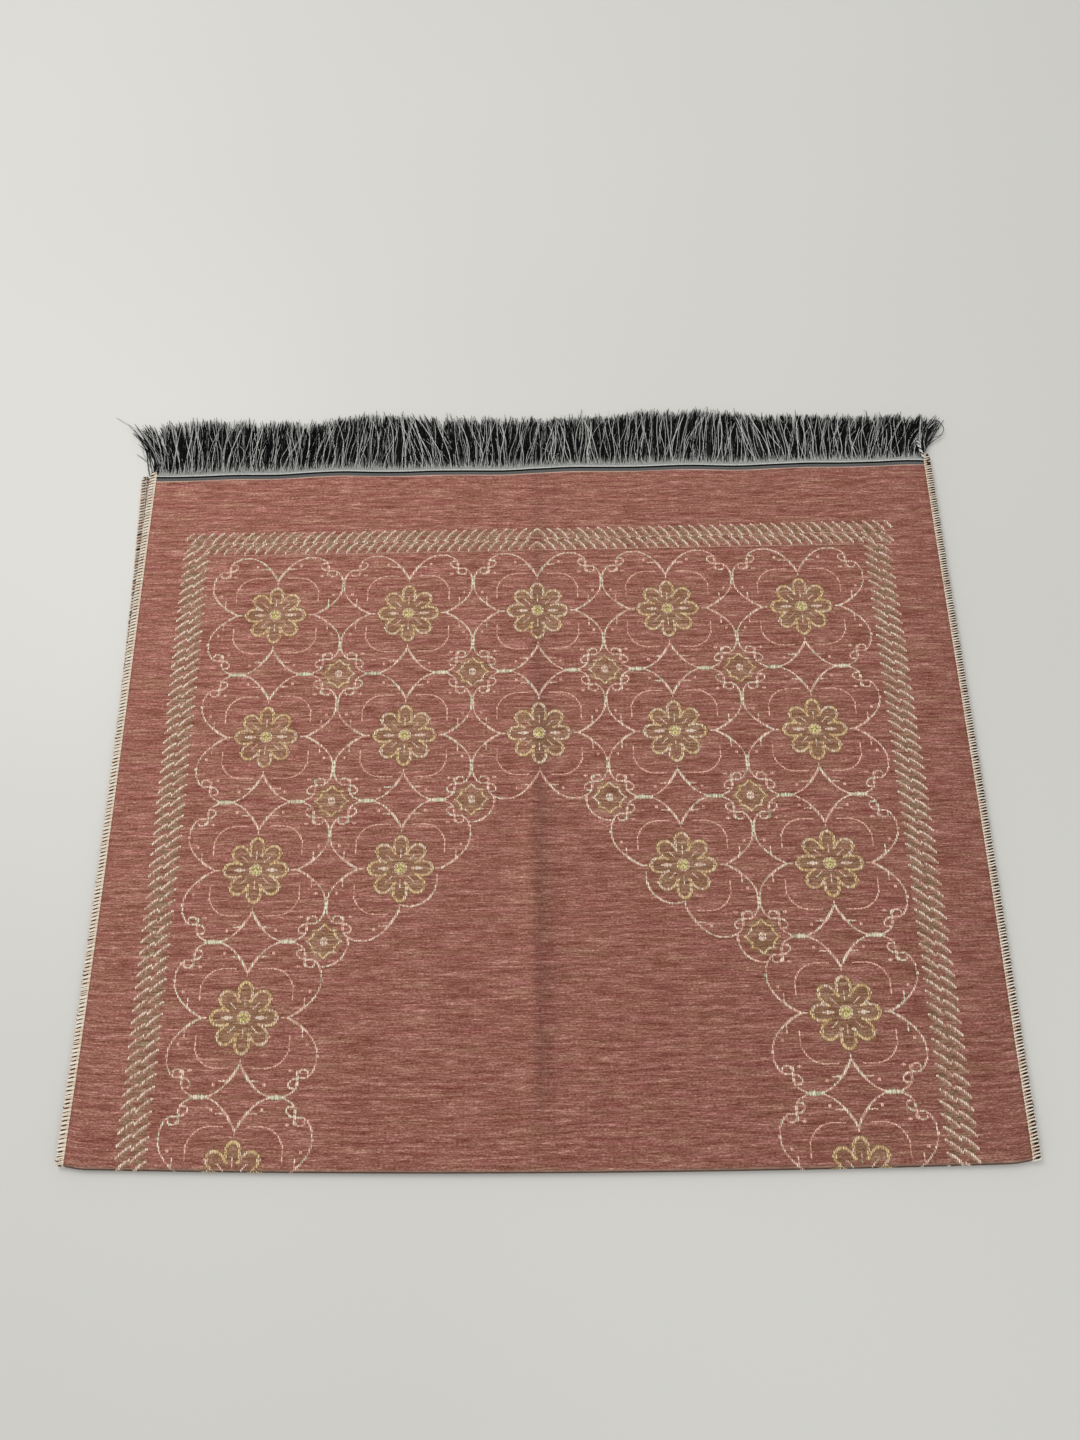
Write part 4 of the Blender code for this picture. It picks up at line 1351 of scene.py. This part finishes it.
# Spreads between yarns: exponents of the sideways shift, and girths; then girths at the ends.
YARN_CURVES = (1.1, 2.0)
YARN_GIRTHS = (0.8, 1.15)
ROOT_GIRTH, TIP_GIRTH, STRAY_TIP_GIRTH = 0.8, 0.5, 0.4
SECOND_BEND = 0.55
STRAY_ROWS = (0.3, 0.98)


def combed(table, across):
    """Tip shifts and reaches at many places, eased between the rows of a combing table."""
    rows = np.array(table) / 1000
    place = np.clip(across, rows[0, 0], rows[-1, 0])
    left = np.clip(np.searchsorted(rows[:, 0], place, side="right") - 1, 0, len(rows) - 2)
    blend = ease((place - rows[left, 0]) / (rows[left + 1, 0] - rows[left, 0]))
    return (rows[left, k] + (rows[left + 1, k] - rows[left, k]) * blend for k in (1, 2))


def fringe_yarns(rng, count, kind, end_run, direction, rests, combing, locks):
    """Many yarns from one heading: their paths, radii, sides and map places."""
    share_of_all, radius, tones, layers, stray, bending = kind
    count = int(count * share_of_all)
    root = (np.arange(count) + rng.uniform(-0.5, 1.0, count)) / count * 2 - 1
    root = np.clip(root, -1, 1) * FRINGE_EDGE
    shift, reach = combed(combing, root)
    edges, leans = locks
    lock = np.clip(np.searchsorted(edges, root) - 1, 0, len(edges) - 2)
    centre = (edges[lock] + edges[lock + 1]) / 2
    shift = shift + leans[lock] + LOCK_GATHER * (centre - root) + rng.normal(0.0, stray, count)
    reach = reach + LONGER + rng.normal(0.0, REACH_STRAY, count)
    cut_short = rng.random(count) < CUT_SHORT
    reach = np.where(cut_short, reach * rng.uniform(*CUT_LEFT, count), reach)
    layer = rng.uniform(*layers, (count, 1))
    start = rng.uniform(*ROOT_START, count)
    origin = middle_points(root, end_run + direction * (HEADING_REACH - start)) + FRAME_SHIFT
    share = YARN_STATIONS
    bend = rng.normal(0.0, bending, (count, 1)) * np.sin(share * math.pi)
    bend = bend + rng.normal(0.0, bending * SECOND_BEND, (count, 1)) * np.sin(share * 2 * math.pi)
    curve = rng.uniform(*YARN_CURVES, (count, 1))
    x = origin[:, :1] + shift[:, None] * share**curve + bend
    y = origin[:, 1:2] + (reach + start)[:, None] * share
    if rests:
        floor, room = (np.interp(share, FLOOR_SHARES, v) for v in (FLOOR_HEIGHTS, FLOOR_ROOM))
        z = floor + radius + room * layer
    else:
        low = FALLEN_HEIGHT + FALLEN_ROOM * layer - TIP_DROP * share
        high = origin[:, 2:] + HEADING_THICKNESS / 2 - ROOT_SINK * (1.0 - layer)
        z = high + (low - high) * np.interp(share, FALL_SHARES, FALL)
    radii = np.full((count, len(share)), radius) * rng.uniform(*YARN_GIRTHS, (count, 1))
    radii[:, 0] *= ROOT_GIRTH
    radii[:, -1] *= TIP_GIRTH
    tone = (np.floor(rng.uniform(*tones, (count, 1)) * YARN_TONES) + 0.5) / YARN_TONES
    # Some yarns are dark from the root; the pale roots of the others end at different heights.
    dark = rng.random((count, 1)) < DARK_ROOTS
    pale = np.where(dark, DARK_ROOT_END, rng.uniform(*PALE_ROOTS, (count, 1)))
    root_row = MAP_MARGIN + (ROOT_ROW - MAP_MARGIN) * share / pale
    rest_row = ROOT_ROW + (1.0 - MAP_MARGIN - ROOT_ROW) * (share - pale) / (1.0 - pale)
    position = np.where(share < pale, root_row, rest_row)
    return np.stack([x, y, z], -1), radii, 3, paired(tone, position)


def stray_thread(points, tone, radius, stations=22):
    """A loose thread through points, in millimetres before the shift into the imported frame."""
    path = resampled(curve_through(np.array(points) * MM, 6), stations)[0] + FRAME_SHIFT
    radii = np.full((1, stations), radius * MM)
    radii[0, -1] *= STRAY_TIP_GIRTH
    return path[None], radii, 4, paired(tone, np.linspace(*STRAY_ROWS, stations))


# Loose threads of the upper fringe: points, tone and radius.
STRAY_THREADS = [
    ([(-345, 590, 5.0), (-352, 606, 4.5), (-366, 626, 3.0), (-392, 645, 0.6)], 0.75, 0.22),
    ([(-344, 586, 5.0), (-352, 600, 4.5), (-362, 612, 3.0), (-366.5, 621, 1.2)], 0.10, 0.3),
    ([(-344, 588, 5.2), (-350, 607, 4.8), (-358, 621, 3.6), (-364, 629, 1.6)], 0.20, 0.3),
    ([(-343, 590, 5.5), (-349, 604, 5.0), (-353, 620, 4.0), (-358, 635, 2.0)], 0.80, 0.3),
    (
        [(-205, 584, 5.2), (-200, 600, 5.6), (-207, 616, 5.4), (-215, 611, 5.0), (-212, 603, 4.6)],
        0.06, 0.3,
    ),
    (
        [(-212, 585, 5.2), (-205, 604, 5.7), (-199, 618, 5.4), (-206, 623, 5.0), (-214, 618, 4.6)],
        0.10, 0.3,
    ),
    ([(-208, 602, 5.6), (-196, 603.5, 5.8), (-184, 603, 5.6), (-170, 604.5, 5.2)], 0.05, 0.22),
]
CURLED_THREAD = [(345, 592, 5.0), (352, 600, 5.0), (361, 604, 4.0)]
CURLED_THREAD += [(365.5, 612, 3.0), (361, 620, 3.0), (357, 614, 3.6)]
TUFT_THREADS = 26
TUFT_TONES = ((0.04, 0.08, 0.45, 0.85), (0.40, 0.30, 0.12, 0.18))
TUFT_PLACE = ((340.5, 345.5), (585.0, 590.0), 5.2)
TUFT_REACH = (22.0, 40.0)
CHAIN_PLACE = (342.5, 579.0, 5.8)
CHAIN_TURNS = 3.5
CHAIN_HALF = 0.9
CHAIN_LENGTH = 18.5
CHAIN_STRANDS = ((0.0, 0.97), (2.1, 0.04), (4.2, 0.90))


def corner_tuft(rng):
    """Warp ends that spray out of the right corner, past the binding's tail."""
    threads = [(CURLED_THREAD, 0.12, 0.3)]
    for _ in range(TUFT_THREADS):
        lean, reach = rng.uniform(0.1, 1.0), rng.uniform(*TUFT_REACH)
        start = [rng.uniform(*TUFT_PLACE[0]), rng.uniform(*TUFT_PLACE[1]), TUFT_PLACE[2]]
        start = np.array(start)
        bend = rng.normal(0.0, 1.2, 2)
        middle = start + [lean * reach * 0.22 + bend[0], reach * 0.50, 0.4]
        end = start + [lean * reach * 0.55, reach * (1.0 - 0.25 * lean) + bend[1], -2.0]
        threads.append(([start, middle, end], rng.choice(TUFT_TONES[0], p=TUFT_TONES[1]), 0.4))
    # The binding's own threads run on as a short twisted chain.
    along = np.linspace(0.0, 1.0, 15)
    for phase, tone in CHAIN_STRANDS:
        twist = phase + along * CHAIN_TURNS * 2 * math.pi
        x = CHAIN_PLACE[0] - 3.0 * along + CHAIN_HALF * np.cos(twist)
        y = CHAIN_PLACE[1] + CHAIN_LENGTH * along
        z = CHAIN_PLACE[2] - along + CHAIN_HALF * 0.5 * np.sin(twist)
        threads.append((np.stack([x, y, z], 1), tone, 0.55, 44))
    return threads


def make_fringe(layer, count, end_run, direction, rests, combing, material, rng, extra=()):
    widths = rng.uniform(*LOCK_WIDTHS, int(RUG_WIDTH / LOCK_WIDTHS[0]))
    edges = -HALF_WIDTH + np.concatenate([[0], np.cumsum(widths)])
    locks = edges, rng.normal(0.0, LOCK_LEAN, len(widths))
    bundles = [
        fringe_yarns(rng, count, kind, end_run, direction, rests, combing, locks)
        for kind in YARN_KINDS
    ]
    bundles += [stray_thread(*thread) for thread in extra]
    return tube_piece(f"fringe_yarns_{layer}", bundles, material, f"fringe_{layer}", "grey_warp")


# ---------------- putting it together
draws = np.random.default_rng(11)
sheet = make_sheet()
lay_pattern()
lay_ropes(draws)
float_pieces = [float_piece(group, draws) for group in woven]
grounds = [*make_grounds(), make_pads()]
thread_look = overlock_look()
overlocks = [make_overlock(side, draws, thread_look) for side in (-1, 1)]
stripe_look, fringe_look = heading_look(), warp_look()
upper, lower = (0.0, -1, False), (WHOLE_RUN, 1, True)
headings = [
    make_heading("heading_upper", *upper, stripe_look),
    make_heading("heading_lower", *lower, stripe_look),
]
threads = STRAY_THREADS + corner_tuft(draws)
fringes = [
    make_fringe("upper", 2300, *upper, UPPER_COMBING, fringe_look, draws, threads),
    make_fringe("lower", 1300, *lower, LOWER_COMBING, fringe_look, draws),
]
